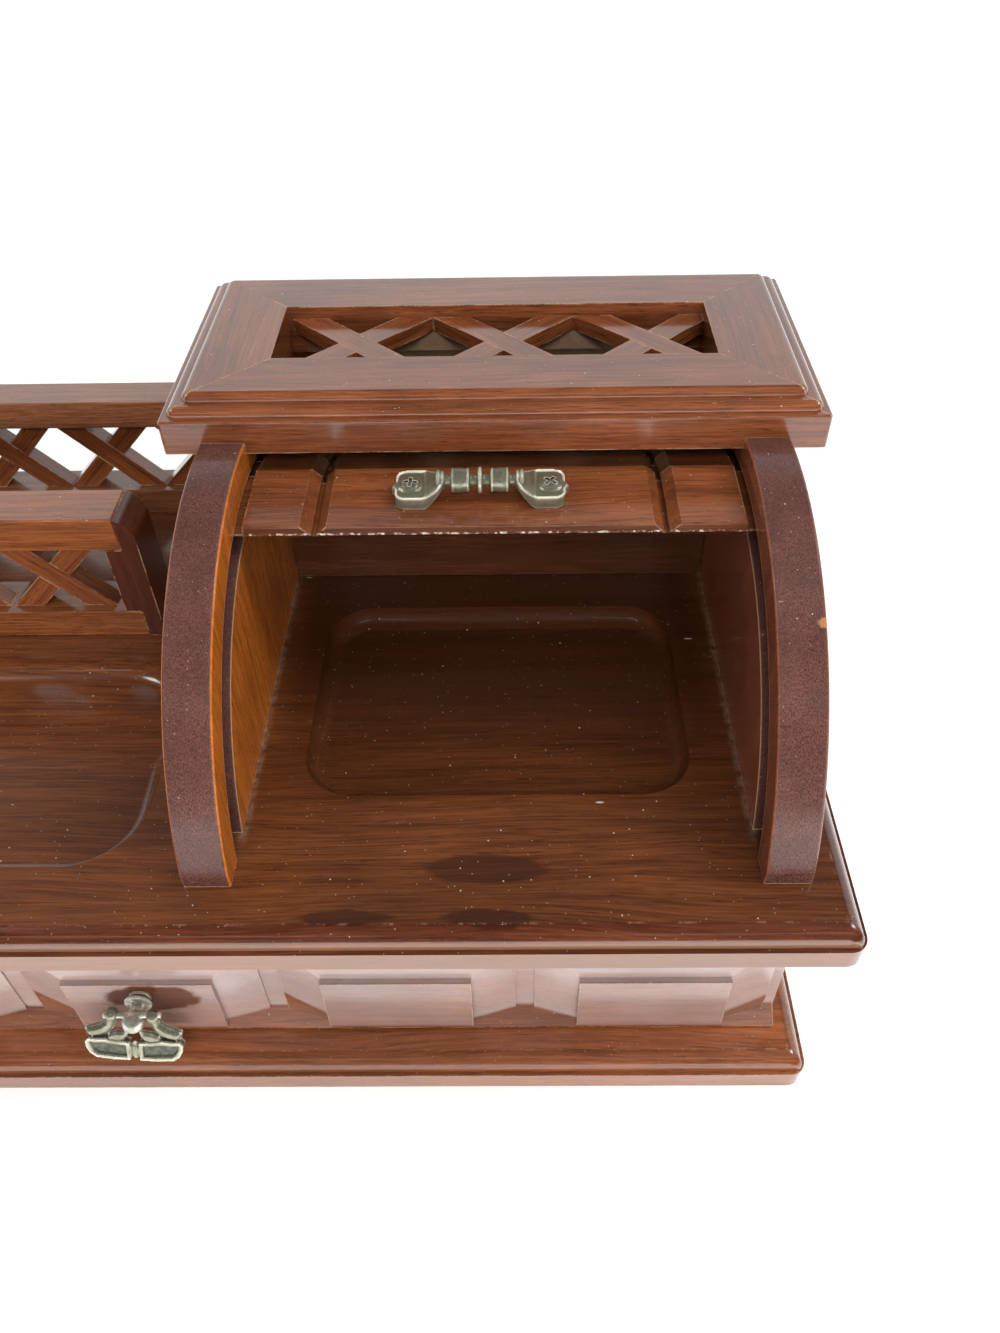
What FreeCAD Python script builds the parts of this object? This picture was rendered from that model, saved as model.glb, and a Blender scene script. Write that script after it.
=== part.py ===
"""A dresser valet: drawer case, moulded deck, roll-top compartment, letter rack and gallery.

Frame: +X along the width, +Y to the back, +Z up, millimetres. The origin is the centre of the
plinth's underside. The roll-top stands at the right, the tray, rack and gallery at the left.
"""
import FreeCAD, Part
import math
import os
import re

doc = FreeCAD.newDocument("DresserValet")
sheet = doc.addObject("Spreadsheet::Sheet", "Dimensions")

# ---------------------------------------------------------------- driving dimensions
DIMENSIONS = {
    "deck_width": 403.0,        # the widest board
    "deck_depth": 201.4,
    "deck_thick": 12.3,
    "plinth_setback": 1.4,      # plinth edge behind the deck edge, all round
    "plinth_thick": 12.7,
    "case_height": 62.5,
    "case_side_gap": 10.4,      # case side behind the deck's side edge
    "case_board": 10.0,
    "edge_step": 1.4,           # small ledge under each rounded edge
    "edge_drop": 0.9,           # how far the ledge lies below the round
    "edge_round": 4.4,
    "edge_corner": 1.5,
    "corner_round": 5.0,
    "soft_edge": 0.5,           # worn arrises of the frames and boards
    # drawer
    "front_stile_y": -81.5,     # sunk face between the raised panels
    "front_back_y": -74.0,
    "front_top": 63.0,
    "front_clear": 0.7,         # gap under the drawer front
    "panel_pitch": 76.2,
    "panel_field": 44.5,
    "panel_bevel": 13.0,
    "panel_rise": 5.1,          # field in front of the sunk face
    "panel_shoulder": 1.9,      # square step round the field
    "panel_field_top": 40.7,
    "panel_bevel_top": 55.6,
    "sill_height": 4.5,
    "drawer_side": 7.0,
    "drawer_side_gap": 1.5,
    "drawer_side_top": 57.0,
    "drawer_back_y": 78.0,
    "drawer_bottom": 3.0,
    "runner_height": 3.0,
    "runner_width": 12.0,
    # roll-top compartment
    "roll_x": 106.7,            # centre of the compartment
    "roll_half_in": 69.7,
    "panel_thick": 12.7,
    "roll_axis_y": 3.5,
    "roll_axis_z": 71.5,
    "arch_radius": 89.5,
    "arch_toe_y": -83.6,
    "groove_outer": 80.4,
    "groove_inner": 71.6,
    "groove_depth": 5.0,
    "cabinet_back_y": 94.4,
    "cabinet_back_thick": 8.0,
    "false_back_y": 42.7,
    "false_back_thick": 8.0,
    "false_back_height": 36.5,
    "arch_soft": 0.8,
    # moulded lid
    "cap_width": 186.0,
    "cap_front_y": 13.7,
    "cap_depth": 85.6,
    "cap_bottom": 156.9,
    "cap_edge": 10.1,
    "cap_step": 2.5,
    "cap_step_in": 2.0,         # inset of the first rounded step
    "cap_step_run": 3.9,        # from the first step to the second
    "cap_step_round": 2.3,
    "cap_side_member": 28.3,
    "cap_front_member": 26.2,
    "cap_back_member": 27.2,
    "cap_lattice_pitch": 44.1,
    "cap_lattice_shift": 2.7,
    "cap_lattice_drop": 3.9,    # strips below the lid's flat top
    "cap_lattice_depth": 4.5,
    "cap_strip_width": 8.0,
    "cap_strip_angle": 44.5,
    # tray and dish routed into the deck
    "recess_depth": 6.0,
    "recess_cove": 5.5,
    "tray_left": -185.6,
    "tray_right": 9.4,
    "tray_front": -77.4,
    "tray_back": 3.1,
    "tray_corner": 22.0,
    "dish_half": 55.9,
    "dish_front": -53.8,
    "dish_back": 26.0,
    "dish_corner": 15.0,
    # rack and gallery
    "rack_x": -85.7,            # middle of the rack
    "frame_height": 46.8,
    "post_inner": 72.6,         # post's inner face from rack_x
    "post_thick": 10.6,
    "post_lap": 5.0,            # how far the rails are let into the posts
    "post_round": 8.0,
    "rack_front": 13.7,
    "rack_depth": 15.8,
    "rack_top_rail": 11.6,
    "low_rail": 10.3,
    "gallery_front": 80.6,
    "gallery_depth": 13.8,
    "gallery_top_rail": 10.0,
    "lattice_pitch": 34.8,
    "lattice_inset": 3.4,       # lattice behind the front of its frame
    "lattice_depth": 6.0,
    "strip_width": 7.1,
    "strip_angle": 46.0,
    # tambour
    "slat_inner": 73.0,         # flat underside from the roll axis
    "slat_outer": 80.0,
    "slat_end_gap": 2.0,
    "slat_width": 12.4,
    "slat_soft": 0.5,
    "slat_gap_angle": 0.06,
    "lead_width": 26.0,
    "lead_angle": 2.3,          # forward tilt of the lead slat when rolled open
    "tongue_reach": 4.5,
    "tongue_inner": 73.2,
    "tongue_outer": 77.6,
    "lead_step": 14.2,          # degrees from the lead slat to the next one
    "lead_edge": 2.8,           # flat of the lead slat's front edge above its bevel
    "lead_relief": 1.1,         # taper of its rear edge
    "lead_relief_height": 4.2,
    "vee_left": 48.7,
    "vee_right": 46.5,
    "vee_depth": 3.6,
    "kerf_width": 1.6,
    "kerf_depth": 1.2,
    "canvas_thick": 0.45,
    # handle on the lead slat
    "handle_shift": -3.8,
    "handle_screw_half": 19.1,
    "foot_long": 8.2,
    "foot_wide": 12.3,
    "foot_thick": 4.2,
    "bar_height": 5.2,
    "bar_half": 11.4,
    "bar_neck": 1.7,
    "collar_radius": 3.1,
    "spool_radius": 3.6,
    "screw_radius": 1.5,
    "screw_bore": 1.55,
    # drawer pull
    "pull_z": 34.5,
    "boss_radius": 3.3,
    "boss_thick": 1.6,
    "neck_radius": 2.0,
    "washer_radius": 4.2,
    "washer_thick": 1.5,
    "washer_reach": 3.0,
    "post_head_radius": 3.4,
    "post_head_thick": 2.0,
    "ball_radius": 3.3,
    "ball_reach": 8.1,
    "pivot_reach": 7.2,
    "pivot_z": 36.8,
    "pin_radius": 0.9,
    "pin_clear": 0.1,
    "knob_x": 6.0,
    "knob_radius": 1.95,
    "drop_half": 14.5,
    "drop_top": 9.6,
    "drop_height": 7.0,
    "drop_front": 1.0,
    "drop_thick": 2.8,
    "wing_top": 5.6,
    "drop_lean": 21.0,
    "drop_foot_round": 4.0,
    "drop_shoulder_round": 1.5,
    "arm_half": 1.3,
    "arm_back": 1.2,            # back of the arms and wings, behind the pin
    "drop_overlap": 1.0,        # how far the arms and wings run into the bar
    "drop_panel_half": 4.8,
    "drop_panel_deep": 0.7,
    "drop_panel_foot": 1.1,
    "drop_panel_head": 0.8,
}


def fill_sheet():
    for row, (alias, number) in enumerate(DIMENSIONS.items(), start=1):
        sheet.set(f"A{row}", alias)
        sheet.set(f"B{row}", str(number))
        sheet.setAlias(f"B{row}", alias)
    doc.recompute()


def size(alias):
    """One driving dimension as a number."""
    return float(sheet.get(alias))


def formula(text):
    """Point every dimension named in an expression at its cell."""
    return re.sub(r"[a-z][a-z_]+", lambda word: "Dimensions." + word.group(0), text)


def bind(solid, **expressions):
    for name, text in expressions.items():
        solid.setExpression(name.replace("__", "."), formula(text))


# ---------------------------------------------------------------- building blocks
X_AXIS = FreeCAD.Vector(1, 0, 0)
Y_AXIS = FreeCAD.Vector(0, 1, 0)
Z_AXIS = FreeCAD.Vector(0, 0, 1)
ALONG_X = FreeCAD.Rotation(Y_AXIS, 90)
ALONG_Y = FreeCAD.Rotation(X_AXIS, -90)
CYCLE = FreeCAD.Rotation(FreeCAD.Vector(1, 1, 1), 120)
STRIP_LENGTH = 60.0


def shift(solid, x, y, z):
    bind(solid, Placement__Base__x=x, Placement__Base__y=y, Placement__Base__z=z)
    return solid


def block(name, x, y, z):
    """A box between two faces on each axis."""
    solid = doc.addObject("Part::Box", name)
    bind(solid, Length=f"({x[1]}) - ({x[0]})", Width=f"({y[1]}) - ({y[0]})",
         Height=f"({z[1]}) - ({z[0]})")
    return shift(solid, x[0], y[0], z[0])


def rod(name, radius, length, x, y, z, rotation):
    solid = doc.addObject("Part::Cylinder", name)
    bind(solid, Radius=radius, Height=length)
    solid.Placement = FreeCAD.Placement(FreeCAD.Vector(), rotation)
    return shift(solid, x, y, z)


def ball(name, radius, x, y, z):
    solid = doc.addObject("Part::Sphere", name)
    bind(solid, Radius=radius)
    return shift(solid, x, y, z)


def frustum(name, base, top, z):
    """A block whose plan changes from base (x0, x1) at y0 to top (x0, x1) at y1."""
    solid = doc.addObject("Part::Wedge", name)
    (x_0, x_1, y_0), (x_2, x_3, y_1) = base, top
    bind(solid, Xmin=x_0, Xmax=x_1, Ymin=y_0, X2min=x_2, X2max=x_3, Ymax=y_1,
         Zmin=z[0], Zmax=z[1], Z2min=z[0], Z2max=z[1])
    return solid


def fuse(name, pieces):
    solid = doc.addObject("Part::MultiFuse", name)
    solid.Shapes = pieces
    solid.Refine = True
    return solid


def cut(name, base, tool):
    solid = doc.addObject("Part::Cut", name)
    solid.Base = base
    solid.Tool = tool
    return solid


def common(name, first, second):
    solid = doc.addObject("Part::Common", name)
    solid.Base = first
    solid.Tool = second
    return solid


def group(name, pieces):
    """Several separate solids kept as one node."""
    solid = doc.addObject("Part::Compound", name)
    solid.Links = pieces
    return solid


def fillet(name, base, rules):
    """Round edges of base: rules is a list of (test on an edge, radius)."""
    doc.recompute()
    solid = doc.addObject("Part::Fillet", name)
    solid.Base = base
    picked = []
    for number, edge in enumerate(base.Shape.Edges, start=1):
        for test, radius in rules:
            if test(edge):
                picked.append((number, radius, radius))
                break
    solid.Edges = picked
    return solid


def soften(name, base, radius="soft_edge"):
    """Round every edge of a plain board slightly, as wear does."""
    return fillet(name, base, [(lambda edge: True, size(radius))])


def is_upright(edge):
    return abs(edge.Vertexes[0].Z - edge.Vertexes[-1].Z) > 1.0


def is_along_y(edge):
    return abs(edge.Vertexes[0].Y - edge.Vertexes[-1].Y) > 1.0


def round_box(name, base, corner, top=None, bottom=None):
    """Round a box's upright edges, and the edges round its upper or its lower face."""
    doc.recompute()
    middle = base.Shape.BoundBox.Center.z
    rules = [(is_upright, corner)]
    if top:
        rules.append((lambda edge: edge.Vertexes[0].Z > middle, top))
    if bottom:
        rules.append((lambda edge: edge.Vertexes[0].Z < middle, bottom))
    return fillet(name, base, rules)


nodes = {}


def node(name, solid):
    """Keep a finished piece under the name of its file."""
    solid.Label = name
    nodes[name] = solid
    return solid


fill_sheet()

# Shared levels and faces, as expressions over the sheet
CASE_TOP = "(plinth_thick + case_height)"
DECK_TOP = f"({CASE_TOP} + deck_thick)"
HALF_W = "(deck_width / 2)"
HALF_D = "(deck_depth / 2)"
CASE_X = f"({HALF_W} - case_side_gap)"
CASE_BACK = f"({HALF_D} - case_side_gap)"
FIELD_Y = "(front_stile_y - panel_rise)"
CAP_TOP = "(cap_bottom + cap_edge + 2 * cap_step)"
CAP_BACK = "(cap_front_y + cap_depth)"


# ---------------------------------------------------------------- base and deck
def moulded_board(name, half_x, half_y, bottom, top):
    """A board whose top edge is rounded above a small ledge."""
    ledge = f"({top} - edge_round - edge_drop)"
    low = block(f"{name}_low", (f"-{half_x}", half_x), (f"-{half_y}", half_y), (bottom, ledge))
    low_round = round_box(f"{name}_low_round", low, size("corner_round"))
    inner_x = f"({half_x} - edge_step)"
    inner_y = f"({half_y} - edge_step)"
    high = block(f"{name}_high", (f"-{inner_x}", inner_x), (f"-{inner_y}", inner_y),
                 (ledge, top))
    high_round = round_box(f"{name}_high_round", high, size("edge_corner"),
                           top=size("edge_round"))
    return fuse(f"{name}_board", [low_round, high_round])


def recess(name, x, y, corner):
    """A routed hollow with coved sides, cut from the deck's upper face."""
    hollow = block(name, x, y, (f"{DECK_TOP} - recess_depth", f"{DECK_TOP} + recess_depth"))
    return round_box(f"{name}_cove", hollow, corner, bottom=size("recess_cove"))


def build_base():
    node("plinth_board", moulded_board("plinth", f"({HALF_W} - plinth_setback)",
                                       f"({HALF_D} - plinth_setback)", "0", "plinth_thick"))
    side_y = ("front_back_y + 0.5", CASE_BACK)
    side_z = ("plinth_thick", CASE_TOP)
    inner = f"({CASE_X} - case_board)"
    node("case_side_left", block("case_left", (f"-{CASE_X}", f"-{inner}"), side_y, side_z))
    node("case_side_right", block("case_right", (inner, CASE_X), side_y, side_z))
    node("case_back", block("case_rear", (f"-{inner}", inner),
                            (f"{CASE_BACK} - case_board", CASE_BACK), side_z))
    node("case_rail", block("case_front_rail", (f"-{CASE_X}", CASE_X),
                            ("front_stile_y", "front_back_y + 0.5"),
                            ("front_top + 0.6", CASE_TOP)))
    runner_y = ("front_back_y + 4", f"{CASE_BACK} - case_board")
    runner_z = ("plinth_thick", "plinth_thick + runner_height")
    node("drawer_runner_left", block("runner_left", (f"-{inner}", f"runner_width - {inner}"),
                                     runner_y, runner_z))
    node("drawer_runner_right", block("runner_right", (f"{inner} - runner_width", inner),
                                      runner_y, runner_z))


def build_deck():
    board = moulded_board("deck", HALF_W, HALF_D, CASE_TOP, DECK_TOP)
    tray = recess("tray", ("tray_left", "tray_right"), ("tray_front", "tray_back"),
                  size("tray_corner"))
    dish = recess("dish", ("roll_x - dish_half", "roll_x + dish_half"),
                  ("dish_front", "dish_back"), size("dish_corner"))
    node("deck_board", cut("deck", board, fuse("recesses", [tray, dish])))


# ---------------------------------------------------------------- drawer
def build_drawer():
    low = "(plinth_thick + front_clear)"
    front_x = f"({CASE_X} - 0.2)"
    plate = block("front_plate", (f"-{front_x}", front_x), ("front_stile_y", "front_back_y"),
                  (low, "front_top"))
    pieces = [plate]
    bevel_face = f"({FIELD_Y} + panel_shoulder)"
    for place in range(-2, 3):
        middle = f"({place} * panel_pitch)"
        reach = "(panel_field / 2 + panel_bevel)"
        pieces.append(block(f"field_{place + 3}",
                            (f"{middle} - panel_field / 2", f"{middle} + panel_field / 2"),
                            (FIELD_Y, "front_stile_y"), (low, "panel_field_top")))
        bevel = doc.addObject("Part::Wedge", f"bevel_{place + 3}")
        bind(bevel, Xmin=f"{middle} - panel_field / 2", Xmax=f"{middle} + panel_field / 2",
             X2min=f"{middle} - {reach}", X2max=f"{middle} + {reach}",
             Ymin=bevel_face, Ymax="front_stile_y - 0.6",
             Zmin=low, Zmax="panel_field_top", Z2min=low, Z2max="panel_bevel_top")
        pieces.append(bevel)
        pieces.append(block(f"bevel_foot_{place + 3}", (f"{middle} - {reach}", f"{middle} + {reach}"),
                            ("front_stile_y - 0.6", "front_stile_y"), (low, "panel_bevel_top")))
    sill = doc.addObject("Part::Wedge", "front_sill")
    bind(sill, Xmin=f"-{front_x}", Xmax=front_x, X2min=f"-{front_x}", X2max=front_x,
         Ymin=FIELD_Y, Ymax="front_stile_y", Zmin=low, Zmax=f"{low} + 0.6",
         Z2min=low, Z2max=f"{low} + sill_height")
    pieces.append(sill)
    screw_hole = rod("pull_screw_hole", "screw_bore", "panel_rise + 12", "0", FIELD_Y, "pull_z",
                     ALONG_Y)
    node("drawer_front", cut("front", fuse("front_solid", pieces), screw_hole))

    outer = f"({CASE_X} - case_board - drawer_side_gap)"
    inner = f"({outer} - drawer_side)"
    side_y = ("front_back_y", "drawer_back_y")
    side_z = ("plinth_thick + runner_height + 0.1", "drawer_side_top")
    node("drawer_side_left", block("box_left", (f"-{outer}", f"-{inner}"), side_y, side_z))
    node("drawer_side_right", block("box_right", (inner, outer), side_y, side_z))
    node("drawer_back", block("box_back", (f"-{inner}", inner),
                              ("drawer_back_y - drawer_side", "drawer_back_y"), side_z))
    node("drawer_bottom", block("box_bottom", (f"-{inner}", inner),
                                ("front_back_y", "drawer_back_y - drawer_side"),
                                (f"{side_z[0]} + 1", f"{side_z[0]} + 1 + drawer_bottom")))


def build_pull():
    """Turned post with a ball end and cross pin, its screw, and the pendant that hangs on it."""
    ball_y = f"({FIELD_Y} - ball_reach)"
    pivot_y = f"({FIELD_Y} - pivot_reach)"
    boss = rod("pull_boss", "boss_radius", "boss_thick", "0", f"{FIELD_Y} - boss_thick", "pull_z",
               ALONG_Y)
    neck = rod("pull_neck", "neck_radius", "ball_reach", "0", ball_y, "pull_z", ALONG_Y)
    washer = rod("pull_washer", "washer_radius", "washer_thick", "0",
                 f"{FIELD_Y} - washer_reach", "pull_z", ALONG_Y)
    sphere = ball("pull_ball", "ball_radius", "0", ball_y, "pull_z")
    half_pin = "(knob_x + knob_radius + 0.6)"
    pin = rod("pull_pin", "pin_radius", f"2 * {half_pin}", f"-{half_pin}", pivot_y, "pivot_z",
              ALONG_X)
    node("pull_post", fuse("post", [boss, neck, washer, sphere, pin]))
    shank = rod("pull_shank", "screw_radius", f"front_back_y - {FIELD_Y}", "0", FIELD_Y,
                "pull_z", ALONG_Y)
    head = rod("pull_head", "post_head_radius", "post_head_thick", "0", "front_back_y", "pull_z",
               ALONG_Y)
    node("pull_screw", fuse("post_screw", [shank, head]))
    node("pull_pendant", hung_on_pin(pendant(), pivot_y))


def pendant():
    """The cast drop, made hanging from the origin: a bar with two panels, arms and two eyes."""
    bar_bottom = "(-drop_top - drop_height)"
    plate = block("drop_plate", ("-drop_half", "drop_half"),
                  ("-drop_front", "drop_thick - drop_front"), (bar_bottom, "-drop_top"))
    doc.recompute()
    middle = plate.Shape.BoundBox.Center.z
    foot, shoulder = size("drop_foot_round"), size("drop_shoulder_round")
    corners = [(lambda edge: is_along_y(edge) and edge.Vertexes[0].Z < middle, foot),
               (lambda edge: is_along_y(edge) and edge.Vertexes[0].Z > middle, shoulder)]
    pieces = [fillet("drop_bar", plate, corners)]
    bores = []
    front_to_back = ("-drop_front", "arm_back")
    for side, sign in (("left", -1), ("right", 1)):
        knob_x = f"({sign} * knob_x)"
        leaf_x = f"({sign} * drop_half / 2)"
        pieces.append(ball(f"drop_knob_{side}", "knob_radius", knob_x, "0", "0"))
        pieces.append(block(f"drop_arm_{side}", (f"{knob_x} - arm_half", f"{knob_x} + arm_half"),
                            front_to_back, ("-drop_top - drop_overlap", "-1.6 * pin_radius")))
        inner, outer = "(knob_x - 1)", "(drop_half - 0.4)"
        ends = (f"-{outer}", f"-{inner}") if sign < 0 else (inner, outer)
        pieces.append(block(f"drop_wing_{side}", ends, front_to_back,
                            ("-drop_top - drop_overlap", "-wing_top")))
        bores.append(rod(f"drop_bore_{side}", "pin_radius + pin_clear", "3 * knob_radius",
                         f"{knob_x} - 1.5 * knob_radius", "0", "0", ALONG_X))
        bores.append(block(f"drop_panel_{side}",
                           (f"{leaf_x} - drop_panel_half", f"{leaf_x} + drop_panel_half"),
                           ("-drop_front - 1", "drop_panel_deep - drop_front"),
                           (f"{bar_bottom} + drop_panel_foot", "-drop_top - drop_panel_head")))
    return cut("pendant", fuse("pendant_solid", pieces), fuse("pendant_bores", bores))


def hung_on_pin(solid, pivot_y):
    """Hang the drop on the cross pin. It rests against the post, so it leans out a little."""
    lean = FreeCAD.Rotation(X_AXIS, -size("drop_lean"))
    solid.Placement = FreeCAD.Placement(FreeCAD.Vector(), lean)
    return shift(solid, "0", pivot_y, "pivot_z")


# ---------------------------------------------------------------- roll-top compartment
def front_arris(edge):
    """True for the edges that run up the toe and round the arch of an end panel."""
    box = edge.BoundBox
    return box.XLength < 0.01 and box.ZLength > 1.0 and box.YMax < size("cap_front_y") + 0.01 \
        and box.YMin < 0


def end_panel(name, sign):
    """A thick side board with a round front and a groove for the tambour on its inner face."""
    inner = f"(roll_x + {sign} * roll_half_in)"
    outer = f"(roll_x + {sign} * (roll_half_in + panel_thick))"
    ends = (inner, outer) if sign > 0 else (outer, inner)
    disc = rod(f"{name}_disc", "arch_radius", "panel_thick", ends[0], "roll_axis_y",
               "roll_axis_z", ALONG_X)
    front = block(f"{name}_front", ends, ("arch_toe_y", "cap_front_y"),
                  (DECK_TOP, f"{DECK_TOP} + arch_radius"))
    rear = block(f"{name}_rear", ends, ("cap_front_y", "cabinet_back_y"), (DECK_TOP, "cap_bottom"))
    square = fuse(f"{name}_board", [common(f"{name}_arch", disc, front), rear])
    board = fillet(f"{name}_soft", square, [(front_arris, size("arch_soft"))])
    start = inner if sign > 0 else f"({inner} - groove_depth)"
    ring = cut(f"{name}_ring",
               rod(f"{name}_wide", "groove_outer", "groove_depth", start, "roll_axis_y",
                   "roll_axis_z", ALONG_X),
               rod(f"{name}_narrow", "groove_inner", "groove_depth", start, "roll_axis_y",
                   "roll_axis_z", ALONG_X))
    return cut(f"{name}_grooved", board, ring)


def build_cabinet():
    node("end_panel_left", end_panel("panel_left", -1))
    node("end_panel_right", end_panel("panel_right", 1))
    inside = ("roll_x - roll_half_in", "roll_x + roll_half_in")
    node("cabinet_back", block("back_board", inside,
                               ("cabinet_back_y - cabinet_back_thick", "cabinet_back_y"),
                               (DECK_TOP, "cap_bottom")))
    inner_back = block("inner_back", inside, ("false_back_y", "false_back_y + false_back_thick"),
                       (DECK_TOP, f"{DECK_TOP} + false_back_height"))
    node("false_back", soften("inner_back_soft", inner_back))


def cap_layer(name, inset, bottom, top, rounding):
    half = f"(cap_width / 2 - {inset})"
    layer = block(name, (f"roll_x - {half}", f"roll_x + {half}"),
                  (f"cap_front_y + {inset}", f"{CAP_BACK} - {inset}"), (bottom, top))
    return round_box(f"{name}_round", layer, 0.4 + rounding, top=rounding)


def build_cap():
    """Four mitred members cut from one moulded block, so that the profile turns the corners."""
    rounding = size("cap_step_round")
    first = "(cap_bottom + cap_edge)"
    second = "(cap_bottom + cap_edge + cap_step)"
    layers = [cap_layer("cap_low", "0", "cap_bottom", first, 0.6),
              cap_layer("cap_mid", "cap_step_in", first, second, rounding),
              cap_layer("cap_high", "(cap_step_in + cap_step_run)", second, CAP_TOP, rounding)]
    moulded = fuse("cap_block", layers)
    left, right = "(roll_x - cap_width / 2)", "(roll_x + cap_width / 2)"
    window_x = (f"({left} + cap_side_member)", f"({right} - cap_side_member)")
    window_y = ("(cap_front_y + cap_front_member)", f"({CAP_BACK} - cap_back_member)")
    height = ("cap_bottom - 1", f"{CAP_TOP} + 1")
    front = frustum("cap_front_wedge", (left, right, "cap_front_y"), (*window_x, window_y[0]),
                    height)
    back = frustum("cap_back_wedge", (*window_x, window_y[1]), (left, right, CAP_BACK), height)
    node("cap_front_rail", common("cap_front", moulded, front))
    node("cap_back_rail", common("cap_back", moulded, back))
    whole = block("cap_whole", (left, right), ("cap_front_y", CAP_BACK), height)
    opening = block("cap_opening", window_x, window_y, height)
    sides = cut("cap_sides", whole, fuse("cap_not_sides", [front, back, opening]))
    for side, half in (("left", (left, "roll_x")), ("right", ("roll_x", right))):
        side_half = common(f"cap_{side}_wedge", sides,
                           block(f"cap_{side}_half", half, ("cap_front_y", CAP_BACK), height))
        node(f"cap_{side}_stile", common(f"cap_{side}", moulded, side_half))
    return window_x, window_y


# ---------------------------------------------------------------- lattices
def strip(name, middle, angle, width, depth, turn):
    """A bar leaning by angle in the lattice's own plane, centred on the middle of its near face.

    turn maps the bar's own frame (length, width, depth) into the lattice's plane.
    """
    bar = doc.addObject("Part::Box", name)
    bar.Length = STRIP_LENGTH
    bind(bar, Width=width, Height=depth)
    lean = FreeCAD.Placement(FreeCAD.Vector(), FreeCAD.Rotation(Z_AXIS, angle))
    local = FreeCAD.Placement(FreeCAD.Vector(-STRIP_LENGTH / 2, -size(width) / 2, 0),
                              FreeCAD.Rotation())
    bar.Placement = FreeCAD.Placement(middle, turn).multiply(lean).multiply(local)
    return bar


def lattice(name, middles, angle, width, depth, turn, window, facing):
    """Crossing strips, halved into each other, clipped to the window of their frame.

    middles are the crossings; facing is the half of the depth where the falling strips keep
    their full width.
    """
    rising, falling = [], []
    for place, middle in enumerate(middles, start=1):
        rising.append(strip(f"{name}_up_{place}", middle, size(angle), width, depth, turn))
        falling.append(strip(f"{name}_down_{place}", middle, -size(angle), width, depth, turn))
    crossing = common(f"{name}_crossing", fuse(f"{name}_all_up", rising),
                      fuse(f"{name}_all_down", falling))
    near = common(f"{name}_near_laps", crossing, facing)
    far = cut(f"{name}_far_laps", crossing, facing)
    fitted = {}
    for bars, lap in ((rising, near), (falling, far)):
        for bar in bars:
            halved = cut(f"{bar.Name}_halved", bar, lap)
            fitted[bar.Name] = common(f"{bar.Name}_fitted", halved, window)
    return [fitted[bar.Name] for bar in rising], [fitted[bar.Name] for bar in falling]


def build_cap_lattice(window_x, window_y):
    """Three crossings of half-lapped strips, a little below the lid's flat top."""
    high = f"({CAP_TOP} - cap_lattice_drop)"
    low = f"({high} - cap_lattice_depth)"
    window = block("cap_window", window_x, window_y, (low, high))
    facing = block("cap_near_half", ("roll_x - cap_width", "roll_x + cap_width"),
                   ("cap_front_y", CAP_BACK), (f"{high} - cap_lattice_depth / 2", f"{high} + 1"))
    doc.recompute()
    box = window.Shape.BoundBox
    first = size("roll_x") + size("cap_lattice_shift") - size("cap_lattice_pitch")
    middles = [FreeCAD.Vector(first + place * size("cap_lattice_pitch"), box.Center.y, box.ZMin)
               for place in range(3)]
    rising, falling = lattice("cap_lattice", middles, "cap_strip_angle", "cap_strip_width",
                              "cap_lattice_depth", FreeCAD.Rotation(), window, facing)
    for place, pair in enumerate(zip(rising, falling), start=1):
        for letter, bar in zip("ab", pair):
            node(f"cap_strip_{place}{letter}", bar)


def upright_lattice(name, front, top_rail, span, crossings):
    """The lattice of the rack or the gallery, standing between its two rails."""
    near = f"({front} + lattice_inset)"
    window = block(f"{name}_window", span, (near, f"{near} + lattice_depth"),
                   (f"{DECK_TOP} + low_rail", f"{DECK_TOP} + frame_height - {top_rail}"))
    facing = block(f"{name}_near_half", ("-deck_width", "deck_width"),
                   (f"{near} - 1", f"{near} + lattice_depth / 2"),
                   (DECK_TOP, f"{DECK_TOP} + frame_height"))
    doc.recompute()
    box = window.Shape.BoundBox
    middles = [FreeCAD.Vector(size("rack_x") + place * size("lattice_pitch"), box.YMax,
                              box.Center.z) for place in crossings]
    rising, falling = lattice(name, middles, "strip_angle", "strip_width", "lattice_depth",
                              FreeCAD.Rotation(X_AXIS, 90), window, facing)
    node(f"{name}_rising", group(f"{name}_rising_bars", rising))
    node(f"{name}_falling", group(f"{name}_falling_bars", falling))


# ---------------------------------------------------------------- rack and gallery
def end_post(name, sign, front, depth, rails):
    """A post with a rounded outer top corner, into which the rails are let."""
    near = f"(rack_x + {sign} * post_inner)"
    far = f"(rack_x + {sign} * (post_inner + post_thick))"
    ends = (near, far) if sign > 0 else (far, near)
    post = block(f"{name}_block", ends, (front, f"{front} + {depth}"),
                 (DECK_TOP, f"{DECK_TOP} + frame_height"))
    doc.recompute()
    box = post.Shape.BoundBox
    outer_x = box.XMax if sign > 0 else box.XMin
    top_corner = (lambda edge: is_along_y(edge) and abs(edge.Vertexes[0].X - outer_x) < 0.01
                  and edge.Vertexes[0].Z > box.Center.z)
    rounded = fillet(f"{name}_round", post, [(top_corner, size("post_round"))])
    return cut(name, rounded, fuse(f"{name}_notches", rails))


def rails_and_posts(name, ends, front, depth, top_rail, posts):
    """A frame's two rails and its posts: posts lists (label, side)."""
    frame_top = f"{DECK_TOP} + frame_height"
    rail_y = (front, f"{front} + {depth}")
    top = block(f"{name}_top", ends, rail_y, (f"{frame_top} - {top_rail}", frame_top))
    low = block(f"{name}_low", ends, rail_y, (DECK_TOP, f"{DECK_TOP} + low_rail"))
    node(f"{name}_top_rail", soften(f"{name}_top_soft", top))
    node(f"{name}_low_rail", soften(f"{name}_low_soft", low))
    for label, sign in posts:
        node(label, end_post(f"{label}_post", sign, front, depth, [top, low]))


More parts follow.
